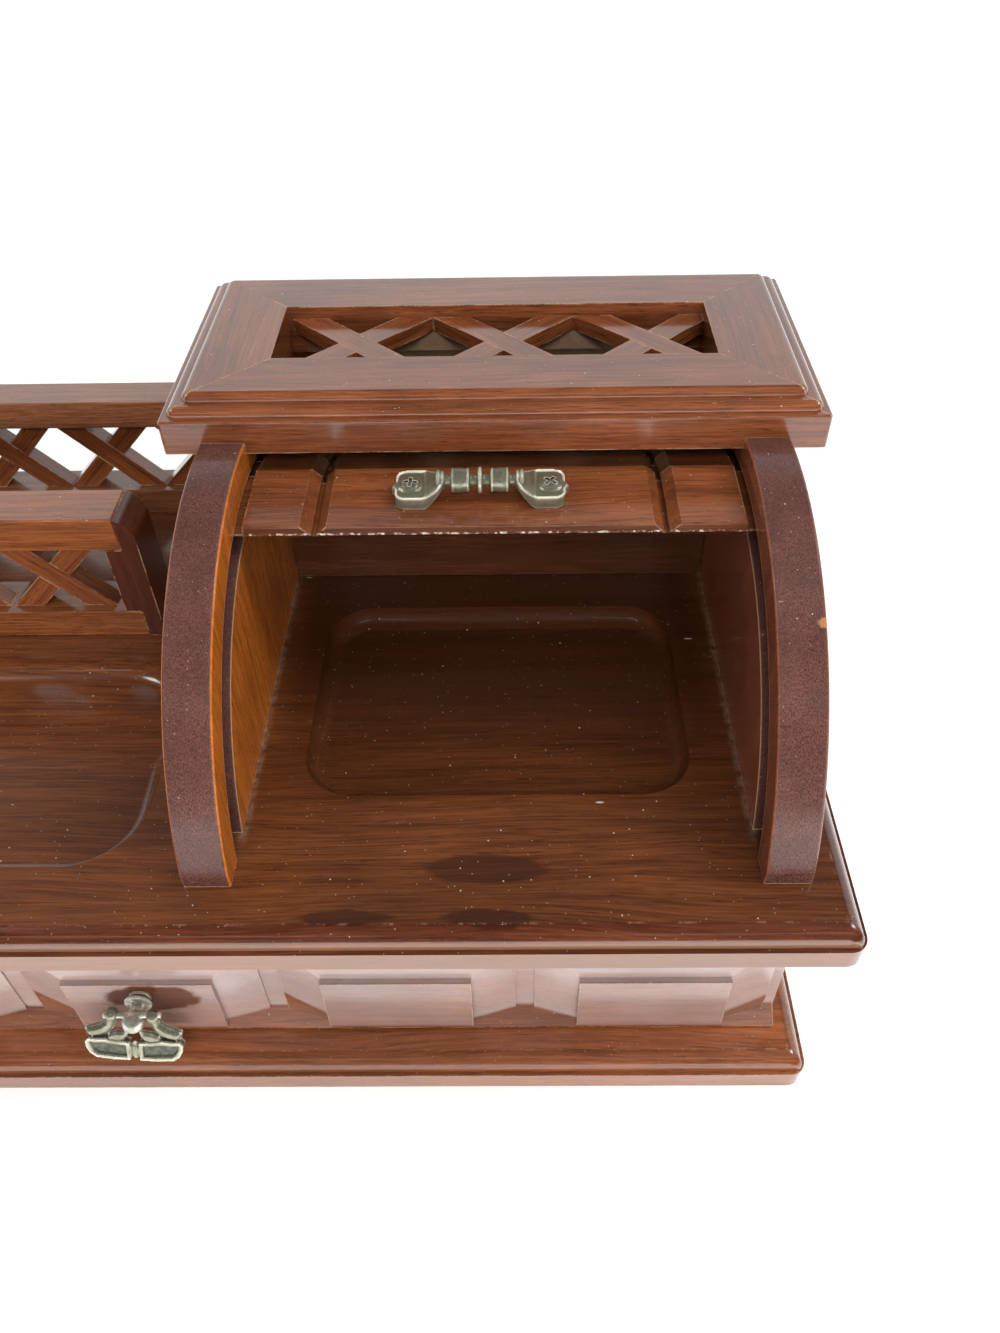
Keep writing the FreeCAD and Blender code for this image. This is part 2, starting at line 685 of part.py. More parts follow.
def build_rack():
    reach = "(post_inner + post_lap)"
    rails_and_posts("rack", (f"rack_x - {reach}", f"rack_x + {reach}"), "rack_front",
                    "rack_depth", "rack_top_rail", (("rack_end_left", -1), ("rack_end_right", 1)))
    upright_lattice("rack_lattice", "rack_front", "rack_top_rail",
                    ("rack_x - post_inner", "rack_x + post_inner"),
                    (-1.5, -0.5, 0.5, 1.5))


def build_gallery():
    """The gallery runs from its own post to the side of the roll-top."""
    right = "roll_x - roll_half_in - panel_thick"
    rails_and_posts("gallery", ("rack_x - post_inner - post_lap", right), "gallery_front",
                    "gallery_depth", "gallery_top_rail", (("gallery_end", -1),))
    upright_lattice("gallery_lattice", "gallery_front", "gallery_top_rail",
                    ("rack_x - post_inner", right), (-1.5, -0.5, 0.5, 1.5, 2.5))


# ---------------------------------------------------------------- tambour
def on_roll(solid, angle):
    """Turn a piece made over the roll axis forward by an angle, in degrees."""
    solid.Placement = FreeCAD.Placement(FreeCAD.Vector(), FreeCAD.Rotation(X_AXIS, angle))
    return shift(solid, "roll_x", "roll_axis_y", "roll_axis_z")


def vee_tool(name, offset, width):
    """A square groove on edge, with a narrow kerf under it, across a slat."""
    half = f"({width} / 2 + 1)"
    vee = doc.addObject("Part::Box", f"{name}_vee")
    bind(vee, Length="2 * vee_depth", Width=f"2 * {half}", Height="2 * vee_depth")
    vee.Placement = FreeCAD.Placement(FreeCAD.Vector(), FreeCAD.Rotation(Y_AXIS, -45))
    shift(vee, offset, f"-{half}", "slat_outer - vee_depth")
    kerf = block(f"{name}_kerf", (f"{offset} - kerf_width / 2", f"{offset} + kerf_width / 2"),
                 (f"-{half}", half), ("slat_outer - vee_depth - kerf_depth", "slat_outer"))
    return [vee, kerf]


def edge_wedge(name, sign, depth, height):
    """A wedge under the lead slat's front (sign -1) or rear (sign 1) edge, widest at the bottom."""
    tool = doc.addObject("Part::Wedge", name)
    edge = f"({sign} * (lead_width / 2 + 0.01))"
    inner = f"({sign} * (lead_width / 2 - {depth}))"
    low = (edge, inner) if sign < 0 else (inner, edge)
    reach = "(roll_half_in + tongue_reach + 1)"
    bind(tool, Zmin=f"-{reach}", Zmax=reach, Z2min=f"-{reach}", Z2max=reach,
         Ymin="slat_inner - 0.01", Ymax=f"slat_inner + {height}",
         Xmin=low[0], Xmax=low[1], X2min=edge, X2max=f"{edge} + 0.001")
    # the wedge's own axes (X, Y, Z) become the slat's (Y, Z, X)
    tool.Placement = FreeCAD.Placement(FreeCAD.Vector(), CYCLE)
    return tool


def is_long_and_high(edge):
    """True for the two long edges of a slat's outer face, before it is turned into place."""
    return edge.BoundBox.XLength > 1.0 and edge.BoundBox.ZMin > size("tongue_outer")


def slat(name, width, angle, more_tools=()):
    """A flat slat with tongues at both ends and two grooves across its face."""
    half = f"({width} / 2)"
    body_x = "(roll_half_in - slat_end_gap)"
    tongue_x = "(roll_half_in + tongue_reach)"
    blank = block(f"{name}_blank", (f"-{body_x}", body_x), (f"-{half}", half),
                  ("slat_inner", "slat_outer"))
    body = fillet(f"{name}_body", blank, [(is_long_and_high, size("slat_soft"))])
    tongue = block(f"{name}_tongue", (f"-{tongue_x}", tongue_x), (f"-{half}", half),
                   ("tongue_inner", "tongue_outer"))
    tools = vee_tool(f"{name}_left", "-vee_left", width)
    tools += vee_tool(f"{name}_right", "vee_right", width)
    tools += more_tools
    whole = cut(name, fuse(f"{name}_solid", [body, tongue]), fuse(f"{name}_tools", tools))
    return on_roll(whole, angle)


def half_angle(width):
    """Half of the angle that a flat slat takes up at its inner face."""
    return math.degrees(math.atan(size(width) / 2 / size("slat_inner")))


SLATS = 7


def build_tambour():
    lead_angle = size("lead_angle")
    relief = [edge_wedge("lead_front_relief", -1, "(slat_outer - slat_inner - lead_edge)",
                         "(slat_outer - slat_inner - lead_edge)"),
              edge_wedge("lead_rear_relief", 1, "lead_relief", "lead_relief_height")]
    relief += [rod(f"lead_bore_{side}", "screw_bore", "4",
                   f"handle_shift + {sign} * handle_screw_half", "0", "slat_outer - 3.8",
                   FreeCAD.Rotation()) for side, sign in (("left", -1), ("right", 1))]
    node("lead_slat", slat("slat_lead", "lead_width", lead_angle, relief))
    pitch = 2 * half_angle("slat_width") + size("slat_gap_angle")
    first = lead_angle - size("lead_step")
    for number in range(SLATS):
        node(f"slat_{number + 1}",
             slat(f"slat_{number + 1}_", "slat_width", first - number * pitch))
    front_angle = lead_angle + half_angle("lead_width") - 6.5
    back_angle = first - (SLATS - 0.5) * pitch + 0.4
    radius = size("slat_inner") - 0.02
    shells = []
    for name, reach in (("canvas_outer", radius), ("canvas_inner",
                                                   radius - size("canvas_thick"))):
        shell = doc.addObject("Part::Cylinder", name)
        shell.Radius = reach
        bind(shell, Height="2 * (roll_half_in - slat_end_gap - 1)")
        shell.Angle = front_angle - back_angle
        shells.append(shell)
    canvas = cut("canvas", *shells)
    # the sector starts on the cylinder's own X axis, which ALONG_X points straight down
    canvas.Placement = FreeCAD.Placement(
        FreeCAD.Vector(), FreeCAD.Rotation(X_AXIS, back_angle - 180).multiply(ALONG_X))
    shift(canvas, "roll_x - roll_half_in + slat_end_gap + 1", "roll_axis_y", "roll_axis_z")
    node("tambour_canvas", canvas)


def build_handle():
    """A cast bridge pull: two feet, two arms and a turned bar, on the lead slat."""
    base = "slat_outer"
    bar_z = f"({base} + bar_height)"
    pieces = []
    holes = []
    screws = []
    for side, sign in (("left", -1), ("right", 1)):
        middle = f"(handle_shift + {sign} * handle_screw_half)"
        pieces.append(block(f"foot_{side}", (f"{middle} - foot_long / 2",
                                             f"{middle} + foot_long / 2"),
                            ("-foot_wide / 2", "foot_wide / 2"), (base, f"{base} + foot_thick")))
        arm = doc.addObject("Part::Wedge", f"arm_{side}")
        foot_end = f"(handle_shift + {sign} * (handle_screw_half - foot_long / 2 + 1.2))"
        bar_end = f"(handle_shift + {sign} * bar_half)"
        low = (foot_end, f"{foot_end} - {sign} * 4")
        high = (f"{bar_end} + {sign} * 1.6", f"{bar_end} - {sign} * 1.2")
        if sign > 0:
            low, high = low[::-1], high[::-1]
        bind(arm, Xmin=low[0], Xmax=low[1], X2min=high[0], X2max=high[1], Ymin="foot_thick - 0.9",
             Ymax="bar_height", Zmin="-4.2", Zmax="4.2", Z2min="-2.6", Z2max="2.6")
        arm.Placement = FreeCAD.Placement(FreeCAD.Vector(), FreeCAD.Rotation(X_AXIS, 90))
        shift(arm, "0", "0", base)
        pieces.append(arm)
        pieces.append(rod(f"collar_{side}", "collar_radius", "2.6",
                          f"handle_shift + {sign} * bar_half - 1.3", "0", bar_z, ALONG_X))
        pieces.append(rod(f"spool_{side}", "spool_radius", "5",
                          f"handle_shift + {sign} * 5.6 - 2.5", "0", bar_z, ALONG_X))
        holes.append(rod(f"screw_hole_{side}", "screw_bore", "foot_thick + 2", middle, "0",
                         f"{base} - 1", FreeCAD.Rotation()))
        shank = rod(f"screw_shank_{side}", "screw_radius", "foot_thick + 3.5", middle, "0",
                    f"{base} - 3.5", FreeCAD.Rotation())
        head = rod(f"screw_head_{side}", "2.7", "0.9", middle, "0", f"{base} + foot_thick",
                   FreeCAD.Rotation())
        screws.append(fuse(f"screw_{side}", [shank, head]))
    pieces.append(rod("bar_neck_rod", "bar_neck", "2 * bar_half", "handle_shift - bar_half", "0",
                      bar_z, ALONG_X))
    pieces.append(rod("bar_disc", "spool_radius", "1.3", "handle_shift - 0.65", "0", bar_z,
                      ALONG_X))
    pull = cut("bridge", fuse("bridge_solid", pieces), fuse("bridge_holes", holes))
    angle = size("lead_angle")
    node("tambour_handle", on_roll(pull, angle))
    node("handle_screws", on_roll(group("bridge_screws", screws), angle))


# ---------------------------------------------------------------- build, check, write
build_base()
build_deck()
build_drawer()
build_pull()
build_cabinet()
build_cap_lattice(*build_cap())
build_rack()
build_gallery()
build_tambour()
build_handle()
doc.recompute()

failed = [item.Name for item in doc.Objects if {"Invalid", "Error"} & set(item.State)]
if failed:
    raise SystemExit(f"objects that failed: {failed}")
for name, solid in nodes.items():
    if solid.Shape.isNull() or not solid.Shape.isValid():
        raise SystemExit(f"bad shape: {name}")

os.makedirs("parts", exist_ok=True)
for name, solid in nodes.items():
    solid.Shape.exportStep(os.path.join("parts", f"{name}.step"))
print(f"{len(nodes)} nodes written")
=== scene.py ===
# %% [markdown]
# # A dresser valet with a roll-top, finished in Blender
# The real object is a small stained hardwood organiser. A drawer case carries a moulded deck.
# On the deck stand a letter rack, a lattice gallery and a compartment with a tambour front.
# The joinery is already built as exact solids, so this lesson keeps the boards as they are.
# What is added here is the finish: grain, stain, varnish, wear, dust and aged cast metal.
# Only the handle, its screws and the drawer pull are shaped again, finer than their solids.

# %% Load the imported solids
import math

import bmesh
import bpy
from mathutils import Matrix, Vector


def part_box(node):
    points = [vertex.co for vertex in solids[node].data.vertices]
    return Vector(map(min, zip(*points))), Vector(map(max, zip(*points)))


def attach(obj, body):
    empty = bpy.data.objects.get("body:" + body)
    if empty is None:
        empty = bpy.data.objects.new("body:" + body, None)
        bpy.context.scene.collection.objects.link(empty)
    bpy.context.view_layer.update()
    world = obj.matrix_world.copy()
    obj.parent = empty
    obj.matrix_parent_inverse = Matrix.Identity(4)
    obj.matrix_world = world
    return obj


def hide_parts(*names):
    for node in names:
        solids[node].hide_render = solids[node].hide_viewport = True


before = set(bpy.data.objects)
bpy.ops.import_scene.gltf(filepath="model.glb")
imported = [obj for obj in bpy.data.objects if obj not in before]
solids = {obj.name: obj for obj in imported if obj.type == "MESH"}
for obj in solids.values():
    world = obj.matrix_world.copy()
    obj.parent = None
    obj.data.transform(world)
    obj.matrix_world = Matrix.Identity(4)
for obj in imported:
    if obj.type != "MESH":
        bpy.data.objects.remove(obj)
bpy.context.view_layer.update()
scene = bpy.context.scene
scene.view_settings.view_transform = "Standard"
MM = 0.001

# %% [markdown]
# ## The camera
# The object is seen from the front and above, nearly 45 degrees down, with a slight roll.
# A camera can be aimed with a tracking constraint, but that can't hold a roll.
# So its three axes are written as a small matrix from the pitch, the yaw and the roll.

# %% Camera
PICTURE = (1000, 1333)
FOCAL_PIXELS = 1034.63
SENSOR_WIDTH = 36
CAMERA_PLACE = (0.1113, -0.23505, 0.31905)
CAMERA_ANGLES = (44.8631, -0.96947, -1.15144)


def aimed(pitch, yaw, roll):
    """The camera's axes as the columns of a matrix, from angles in degrees."""
    pitch, yaw, roll = (math.radians(angle) for angle in (pitch, yaw, roll))
    ahead = Vector((math.sin(yaw), math.cos(yaw), 0))
    level = Vector((math.cos(yaw), -math.sin(yaw), 0))
    up = Vector((0, 0, 1))
    forward = ahead * math.cos(pitch) - up * math.sin(pitch)
    over = ahead * math.sin(pitch) + up * math.cos(pitch)
    right = level * math.cos(roll) + over * math.sin(roll)
    top = over * math.cos(roll) - level * math.sin(roll)
    return Matrix((right, top, -forward)).transposed()


camera = bpy.data.objects.new("Camera", bpy.data.cameras.new("Camera"))
scene.collection.objects.link(camera)
scene.camera = camera
camera.data.sensor_width = SENSOR_WIDTH
camera.data.lens = SENSOR_WIDTH * FOCAL_PIXELS / max(PICTURE)
camera.matrix_world = Matrix.Translation(CAMERA_PLACE) @ aimed(*CAMERA_ANGLES).to_4x4()
print("lens", round(camera.data.lens, 2), "mm")

# %% [markdown]
# ## Shorthand for node trees
# A finish is a tree of shader nodes. Small helpers keep each tree readable: they add a node and
# fill its sockets, do arithmetic, stretch a range, mix two colours or ask which way a face looks.

# %% Helpers for node trees
def feed(tree, socket, value):
    """Link a socket to another socket, or set its number or colour."""
    if isinstance(value, bpy.types.NodeSocket):
        tree.links.new(value, socket)
    else:
        socket.default_value = value


def add(tree, kind, inputs=None, **settings):
    """Add a shader node. Inputs are given by name or by number."""
    made = tree.nodes.new("ShaderNode" + kind)
    for name, value in settings.items():
        setattr(made, name, value)
    for name, value in (inputs or {}).items():
        feed(tree, made.inputs[name], value)
    return made


def calc(tree, operation, *values, clamp=False):
    """One step of arithmetic on sockets or numbers."""
    made = add(tree, "Math", dict(enumerate(values)), operation=operation, use_clamp=clamp)
    return made.outputs[0]


def spread(tree, value, low, high, to_low=0.0, to_high=1.0):
    """Stretch a value from one range to another and clamp it, with a smooth start and end."""
    made = add(tree, "MapRange", {0: value, 1: low, 2: high, 3: to_low, 4: to_high},
               interpolation_type="SMOOTHSTEP")
    return made.outputs[0]


def mix(tree, share, first, second, blend="MIX"):
    """Mix two colours by a share."""
    made = add(tree, "Mix", {0: share}, data_type="RGBA", blend_type=blend)
    for socket, colour in ((made.inputs[6], first), (made.inputs[7], second)):
        feed(tree, socket, colour if isinstance(colour, bpy.types.NodeSocket) else (*colour, 1))
    return made.outputs[2]


def noise(tree, place, scale, detail=2.0, roughness=0.5):
    """Noise between 0 and 1 at a place."""
    made = add(tree, "TexNoise", {"Vector": place, "Scale": scale, "Detail": detail,
                                  "Roughness": roughness})
    return made.outputs["Fac"]


def stretched(tree, place, scale):
    """The same place with each axis scaled by its own amount."""
    made = add(tree, "Mapping", {"Vector": place, "Scale": scale})
    return made.outputs[0]


def product(tree, *values):
    """Several values multiplied together."""
    total = values[0]
    for value in values[1:]:
        total = calc(tree, "MULTIPLY", total, value)
    return total


def facing(tree, axis):
    """How far the surface faces along an axis, from -1 to 1."""
    normal = add(tree, "NewGeometry").outputs["Normal"]
    return add(tree, "SeparateXYZ", {0: normal}).outputs[axis]


print("node helpers are ready for Blender", bpy.app.version_string)

# %% [markdown]
# ## The room
# The object stands on a white sweep of paper under soft light.
# The paper is white by its own colour, and a little light of its own for the camera keeps it
# white without more light on the wood, while it still takes the object's shadow.
# The varnish mirrors the room, so the room matters: the paper and the wall behind are white,
# and the room above and behind the camera is dim. One smooth world gradient gives that.

# %% Paper floor
PAPER_WHITE = 0.88
PAPER_HALF = 6
LIFT_NEAR, LIFT_FAR = 0.14, 0.8


def paper():
    material = bpy.data.materials.new("white paper")
    material.use_nodes = True
    tree = material.node_tree
    tree.nodes.clear()
    rays = add(tree, "LightPath")
    seen = calc(tree, "MAXIMUM", rays.outputs["Is Camera Ray"], rays.outputs["Is Glossy Ray"])
    seen = calc(tree, "MAXIMUM", seen, rays.outputs["Is Transmission Ray"])
    away = add(tree, "VectorMath", {0: add(tree, "TexCoord").outputs["Object"]},
               operation="LENGTH").outputs["Value"]
    far = spread(tree, away, 0.2, 1.2, LIFT_NEAR, LIFT_FAR)
    sheet = add(tree, "BsdfDiffuse", {"Color": (*[PAPER_WHITE] * 3, 1)})
    lift = add(tree, "Emission", {"Color": (1, 1, 1, 1),
                                  "Strength": product(tree, seen, far)})
    both = add(tree, "AddShader", {0: sheet.outputs[0], 1: lift.outputs[0]})
    add(tree, "OutputMaterial", {"Surface": both.outputs[0]})
    return material


bm = bmesh.new()
bmesh.ops.create_grid(bm, x_segments=1, y_segments=1, size=PAPER_HALF)
floor = bpy.data.objects.new("paper_floor", bpy.data.meshes.new("paper_floor"))
bm.to_mesh(floor.data)
bm.free()
floor.data.materials.append(paper())
scene.collection.objects.link(floor)
print("the paper is", round(floor.dimensions.x), "m wide")

# %% Dim room with a white wall behind
MIRRORED_ROOM, MIRRORED_WALL = 0.05, 0.9
SOFT_ROOM, SOFT_WALL = 0.32, 0.2
world = bpy.data.worlds.new("studio")
scene.world = world
world.use_nodes = True
tree = world.node_tree
tree.nodes.clear()
rays = add(tree, "LightPath")
direction = add(tree, "TexCoord").outputs["Generated"]
axes = add(tree, "SeparateXYZ", {0: direction})
behind = spread(tree, axes.outputs["Y"], 0.0, 0.35)
below = spread(tree, axes.outputs["Z"], 0.74, 0.56)
wall = product(tree, behind, below)
mirrored = calc(tree, "ADD", MIRRORED_ROOM, product(tree, wall, MIRRORED_WALL))
soft = calc(tree, "ADD", SOFT_ROOM, product(tree, wall, SOFT_WALL))
glossy = calc(tree, "MAXIMUM", rays.outputs["Is Glossy Ray"], rays.outputs["Is Transmission Ray"])
level = add(tree, "Mix", {0: glossy, 2: soft, 3: mirrored}).outputs[0]
level = add(tree, "Mix", {0: rays.outputs["Is Camera Ray"], 2: level, 3: 1.0}).outputs[0]
light = add(tree, "Background", {"Color": (1, 1, 1, 1), "Strength": level})
add(tree, "OutputWorld", {"Surface": light.outputs[0]})
print("the room has", len(tree.nodes), "nodes")

# %% [markdown]
# ## Lamps
# Big soft lamps light the wood evenly, and the varnish doesn't mirror them, so no hard white
# patch hides the stain. Four small windows to the sides and in front are there to be mirrored:
# they give the thin bright lines along the rounded edges.

# %% Soft lamps
MIDDLE = (0.1, 0, 0.1)


def soft_lamp(name, place, aim, size, power, mirrored=False):
    """A soft box at a place, pointed at another place. The varnish may mirror it or not."""
    lamp = bpy.data.objects.new(name, bpy.data.lights.new(name, "AREA"))
    scene.collection.objects.link(lamp)
    lamp.data.shape = "RECTANGLE"
    lamp.data.size, lamp.data.size_y = size
    lamp.data.energy = power
    lamp.location = place
    lamp.rotation_mode = "QUATERNION"
    lamp.rotation_quaternion = (Vector(aim) - Vector(place)).to_track_quat("-Z", "Y")
    lamp.visible_glossy = mirrored


soft_lamp("high lamp", (0.75, 0.0, 1.35), (0.05, 0, 0.05), (0.7, 0.7), 11.5)
soft_lamp("high front lamp", (0.2, -0.95, 1.0), MIDDLE, (0.5, 0.3), 8)
soft_lamp("low front lamp", (0.12, -1.05, 0.30), MIDDLE, (1.2, 0.1), 9.5)
soft_lamp("right window", (0.74, 0.0, 0.78), MIDDLE, (0.2, 0.2), 1.6, mirrored=True)
soft_lamp("left window", (-0.54, 0.0, 0.75), MIDDLE, (0.2, 0.2), 1.2, mirrored=True)
for side in (-1, 1):
    soft_lamp(f"front window {side}", (0.1 + side * 0.47, -1.05, 0.98), MIDDLE, (0.6, 0.16), 0.3,
              mirrored=True)

# %% [markdown]
# ## Shared effects
# Grain, worn edges and dust show on every board. Each is one shader node group with named
# inputs and outputs, so that every finish can use it with its own values.
# The groups put out masks and heights only, and each material keeps its own shader.

# %% Making a node group
def new_group(name, inputs, outputs):
    """An empty group: inputs lists (name, socket kind, value), outputs lists names of floats."""
    group = bpy.data.node_groups.new(name, "ShaderNodeTree")
    for label, kind, value in inputs:
        socket = group.interface.new_socket(label, in_out="INPUT", socket_type="NodeSocket" + kind)
        if value is not None:
            socket.default_value = value
    for label in outputs:
        group.interface.new_socket(label, in_out="OUTPUT", socket_type="NodeSocketFloat")
    return group, group.nodes.new("NodeGroupInput"), group.nodes.new("NodeGroupOutput")


def use(tree, group, inputs):
    """Place a group in a tree, with its own input values."""
    made = tree.nodes.new("ShaderNodeGroup")
    made.node_tree = group
    for name, value in inputs.items():
        feed(tree, made.inputs[name], value)
    return made


def tell(group):
    """Print which values a group puts out."""
    sockets = [item.name for item in group.interface.items_tree if item.in_out == "OUTPUT"]
    print(group.name, "puts out", sockets)


print("groups so far", len(bpy.data.node_groups))

# %% [markdown]
# ### Grain
# The boards are a red-brown hardwood with open pores. Its figure runs along each board in long
# bands, with short fine streaks, dark pore lines and broad blotches. A wave texture looks too
# regular, so four noises are stretched along the grain instead, each at its own width.

# %% Grain group
GRAIN, given, made = new_group(
    "Board Grain", [("Place", "Vector", None)], ["Streaks", "Bands", "Pores", "Blotch"])
place = given.outputs["Place"]
wander = add(GRAIN, "VectorMath", {0: place}, operation="ADD")
drift = noise(GRAIN, stretched(GRAIN, place, (1, 4, 4)), 9, 1)
shifted = add(GRAIN, "CombineXYZ", {1: product(GRAIN, drift, 0.012), 2: 0.0})
feed(GRAIN, wander.inputs[1], shifted.outputs[0])
bent = wander.outputs[0]
for label, stretch, scale, low, high in (("Streaks", 0.03, 1700, 0.32, 0.68),
                                         ("Bands", 0.03, 300, 0.28, 0.74),
                                         ("Pores", 0.05, 2900, 0.56, 0.68),
                                         ("Blotch", 0.4, 34, 0.30, 0.70)):
    figure = noise(GRAIN, stretched(GRAIN, bent, (stretch, 1, 1)), scale, 3, 0.6)
    feed(GRAIN, made.inputs[label], spread(GRAIN, figure, low, high))
tell(GRAIN)

# %% [markdown]
# ### Worn edges
# Years of handling have rubbed the stain off the arrises, and pale wood shows in short breaks.
# Ambient occlusion measured inwards finds the outer edges only, and not the inner corners.
# The reach of the rays is the width of the wear, and noise breaks the line up.

# %% Worn edge group
WEAR, given, made = new_group(
    "Worn Edge", [("Place", "Vector", None), ("Reach", "Float", 0.0006), ("Amount", "Float", 0.5)],
    ["Wear"])
inward = add(WEAR, "AmbientOcclusion", {"Distance": given.outputs["Reach"]}, samples=6,
             inside=True, only_local=True)
edge = spread(WEAR, inward.outputs["AO"], 0.92, 0.55)
patches = noise(WEAR, given.outputs["Place"], 95, 4, 0.6)
scrapes = noise(WEAR, given.outputs["Place"], 900, 2, 0.6)
broken = calc(WEAR, "ADD", product(WEAR, patches, 0.75), product(WEAR, scrapes, 0.35))
threshold = calc(WEAR, "SUBTRACT", 0.95, product(WEAR, given.outputs["Amount"], 0.6))
wear_and_reflection = add(WEAR, "MapRange", {0: broken, 1: threshold,
                                2: calc(WEAR, "ADD", threshold, 0.12), 3: 0.0, 4: 1.0})
feed(WEAR, made.inputs["Wear"], calc(WEAR, "MULTIPLY", edge, wear_and_reflection.outputs[0], clamp=True))
tell(WEAR)

# %% [markdown]
# ### Dust
# Pale specks and short fibres lie on everything that faces up. Voronoi cells give one speck
# each, and only some cells keep theirs. The normal's Z decides what faces up.

# %% Dust group
DUST, given, made = new_group(
    "Settled Dust", [("Place", "Vector", None), ("Share", "Float", 0.3)], ["Specks", "Film"])
upward = spread(DUST, facing(DUST, "Z"), 0.25, 0.8)
total = None
for scale, size, stretch in ((620, 0.10, (1, 1, 1)), (260, 0.075, (1, 1, 1)),
                             (120, 0.05, (0.25, 1, 1)), (110, 0.05, (1, 0.22, 1))):
    cells = add(DUST, "TexVoronoi", {"Vector": stretched(DUST, given.outputs["Place"], stretch),
                                     "Scale": scale})
    pick = add(DUST, "SeparateXYZ", {0: cells.outputs["Color"]}).outputs["X"]
    kept = calc(DUST, "LESS_THAN", pick, given.outputs["Share"])
    speck = product(DUST, kept, spread(DUST, cells.outputs["Distance"], size, size * 0.5))
    total = speck if total is None else calc(DUST, "MAXIMUM", total, speck)
feed(DUST, made.inputs["Specks"], product(DUST, total, upward))
film = spread(DUST, noise(DUST, given.outputs["Place"], 22, 4), 0.35, 0.75)
feed(DUST, made.inputs["Film"], product(DUST, upward, film))
tell(DUST)

# %% [markdown]
# ## Stained and varnished wood
# Each board has its own tint and its own stretch of grain, so each gets its own material from
# one recipe. The stain is darker in the pores and bands. A clear coat stands for the varnish:
# it is thick and glossy, and dulls where the edges are rubbed and where dust has settled.

# %% Wood recipe
BARE = (0.42, 0.26, 0.15)
DUST_GREY = (0.50, 0.45, 0.40)
FROM_STREAKS, FROM_BANDS, LIFTED = 0.45, 0.35, 0.12


def wood(name, dark, light, turn=(0, 0, 0), wear=0.75, reach=0.5, gloss=0.14, dust=0.4,
         coat_ior=1.6, over=None):
    """A stained board: turn brings its grain onto X, reach is the wear's width in mm.

    A function given as over may paint on the stain. It gives back the new colour and a mask
    of bare wood, where little varnish is left.
    """
    material = bpy.data.materials.new(name)
    material.use_nodes = True
    tree = material.node_tree
    shader = tree.nodes["Principled BSDF"]
    number = len(bpy.data.materials)
    position = add(tree, "TexCoord").outputs["Object"]
    along = add(tree, "Mapping", {
        "Vector": position, "Rotation": [math.radians(angle) for angle in turn],
        "Location": (0.37 * number, 0.21 * number, 0.13 * number)}).outputs[0]
    grain = use(tree, GRAIN, {"Place": along})
    worn = use(tree, WEAR, {"Place": position, "Reach": reach * MM, "Amount": wear})
    dusty = use(tree, DUST, {"Place": position, "Share": dust})

    tone = calc(tree, "ADD", product(tree, grain.outputs["Streaks"], FROM_STREAKS),
                product(tree, grain.outputs["Bands"], FROM_BANDS))
    tone = calc(tree, "ADD", tone, LIFTED)
    stain = mix(tree, tone, dark, light)
    depth = calc(tree, "ADD", 0.78, product(tree, grain.outputs["Blotch"], 0.4))
    shade = add(tree, "CombineXYZ", {0: depth, 1: depth, 2: depth}).outputs[0]
    stain = mix(tree, 1.0, stain, shade, "MULTIPLY")
    pores = product(tree, grain.outputs["Pores"], 0.6)
    stain = mix(tree, pores, stain, [channel * 0.4 for channel in dark])
    bare = 0.0
    if over:
        stain, bare = over(tree, position, stain)
    stain = mix(tree, product(tree, worn.outputs["Wear"], 0.85), stain, BARE)
    stain = mix(tree, product(tree, dusty.outputs["Specks"], 0.8), stain, DUST_GREY)
    feed(tree, shader.inputs["Base Color"], stain)

    dull = product(tree, dusty.outputs["Film"], 0.10)
    rough = calc(tree, "ADD", gloss + 0.12, dull)
    bare = calc(tree, "MAXIMUM", worn.outputs["Wear"], bare)
    rough = calc(tree, "ADD", rough, product(tree, bare, 0.4))
    feed(tree, shader.inputs["Roughness"], rough)
    cover = calc(tree, "SUBTRACT", 1.0, product(tree, bare, 0.8))
    cover = calc(tree, "SUBTRACT", cover, product(tree, dusty.outputs["Specks"], 0.7),
                 clamp=True)
    feed(tree, shader.inputs["Coat Weight"], cover)
    shader.inputs["Specular IOR Level"].default_value = 0.3
    shader.inputs["Coat IOR"].default_value = coat_ior
    shader.inputs["Coat Roughness"].default_value = gloss

    relief = calc(tree, "SUBTRACT", product(tree, grain.outputs["Streaks"], 0.3),
                  product(tree, grain.outputs["Pores"], 0.7))
    bump = add(tree, "Bump", {"Height": relief, "Strength": 0.25, "Distance": 0.00012})
    feed(tree, shader.inputs["Normal"], bump.outputs[0])
    return material


def finish(material, *names):
    """Give a material to solids by name."""
    for name in names:
        solids[name].data.materials.clear()
        solids[name].data.materials.append(material)


print("bare wood is", BARE, "and dust is", DUST_GREY)

# %% [markdown]
# ### Marks that belong to one board
# Some boards carry marks of their own, painted over the stain by small functions. Each one works
# out a mask from where a point lies, in metres, and which way the surface faces there.
# The drawer front carries a painted sheen: a pale colour standing in for the reflection of the
# bright room in its varnish, which stops low down between its raised panels. Round the pull's post
# it gives way to a darker painted reflection of the pull. The moulded edges of the deck and the
# plinth are painted darker than their tops, as painted shade, and a pale broken line along each
# arris is wear and a painted highlight. Their front faces carry a painted sheen too. The deck has
# painted shade under the lid. Three old spills have darkened the deck. Dust lies at the feet of
# the walls, and the faces that show through the lid's lattice are paler. The arched ends are
# mauve-brown and leathery on their edge. Their groove was never varnished, and one has a chip.

# %% Spots, and the drawer front
ROLL_CENTRE = (106.7, 3.5, 71.5)
FIELD_Y = -86.6
SILL_Z = 14.2
# Painted sheen: a pale colour standing in for the bright room's reflection in the drawer front's
# varnish. The pull's spot is a painted reflection of the pull.
PAINTED_SHEEN_WHITE = (0.585, 0.52, 0.505)
PULL_REFLECTION_DARK = (0.060, 0.014, 0.007)
PULL_REFLECTION_CENTRE, PULL_REFLECTION_REACH = (3.0, FIELD_Y, 33.0), (14.5, 6, 7.6)


def in_metres(values):
    return [value * MM for value in values]


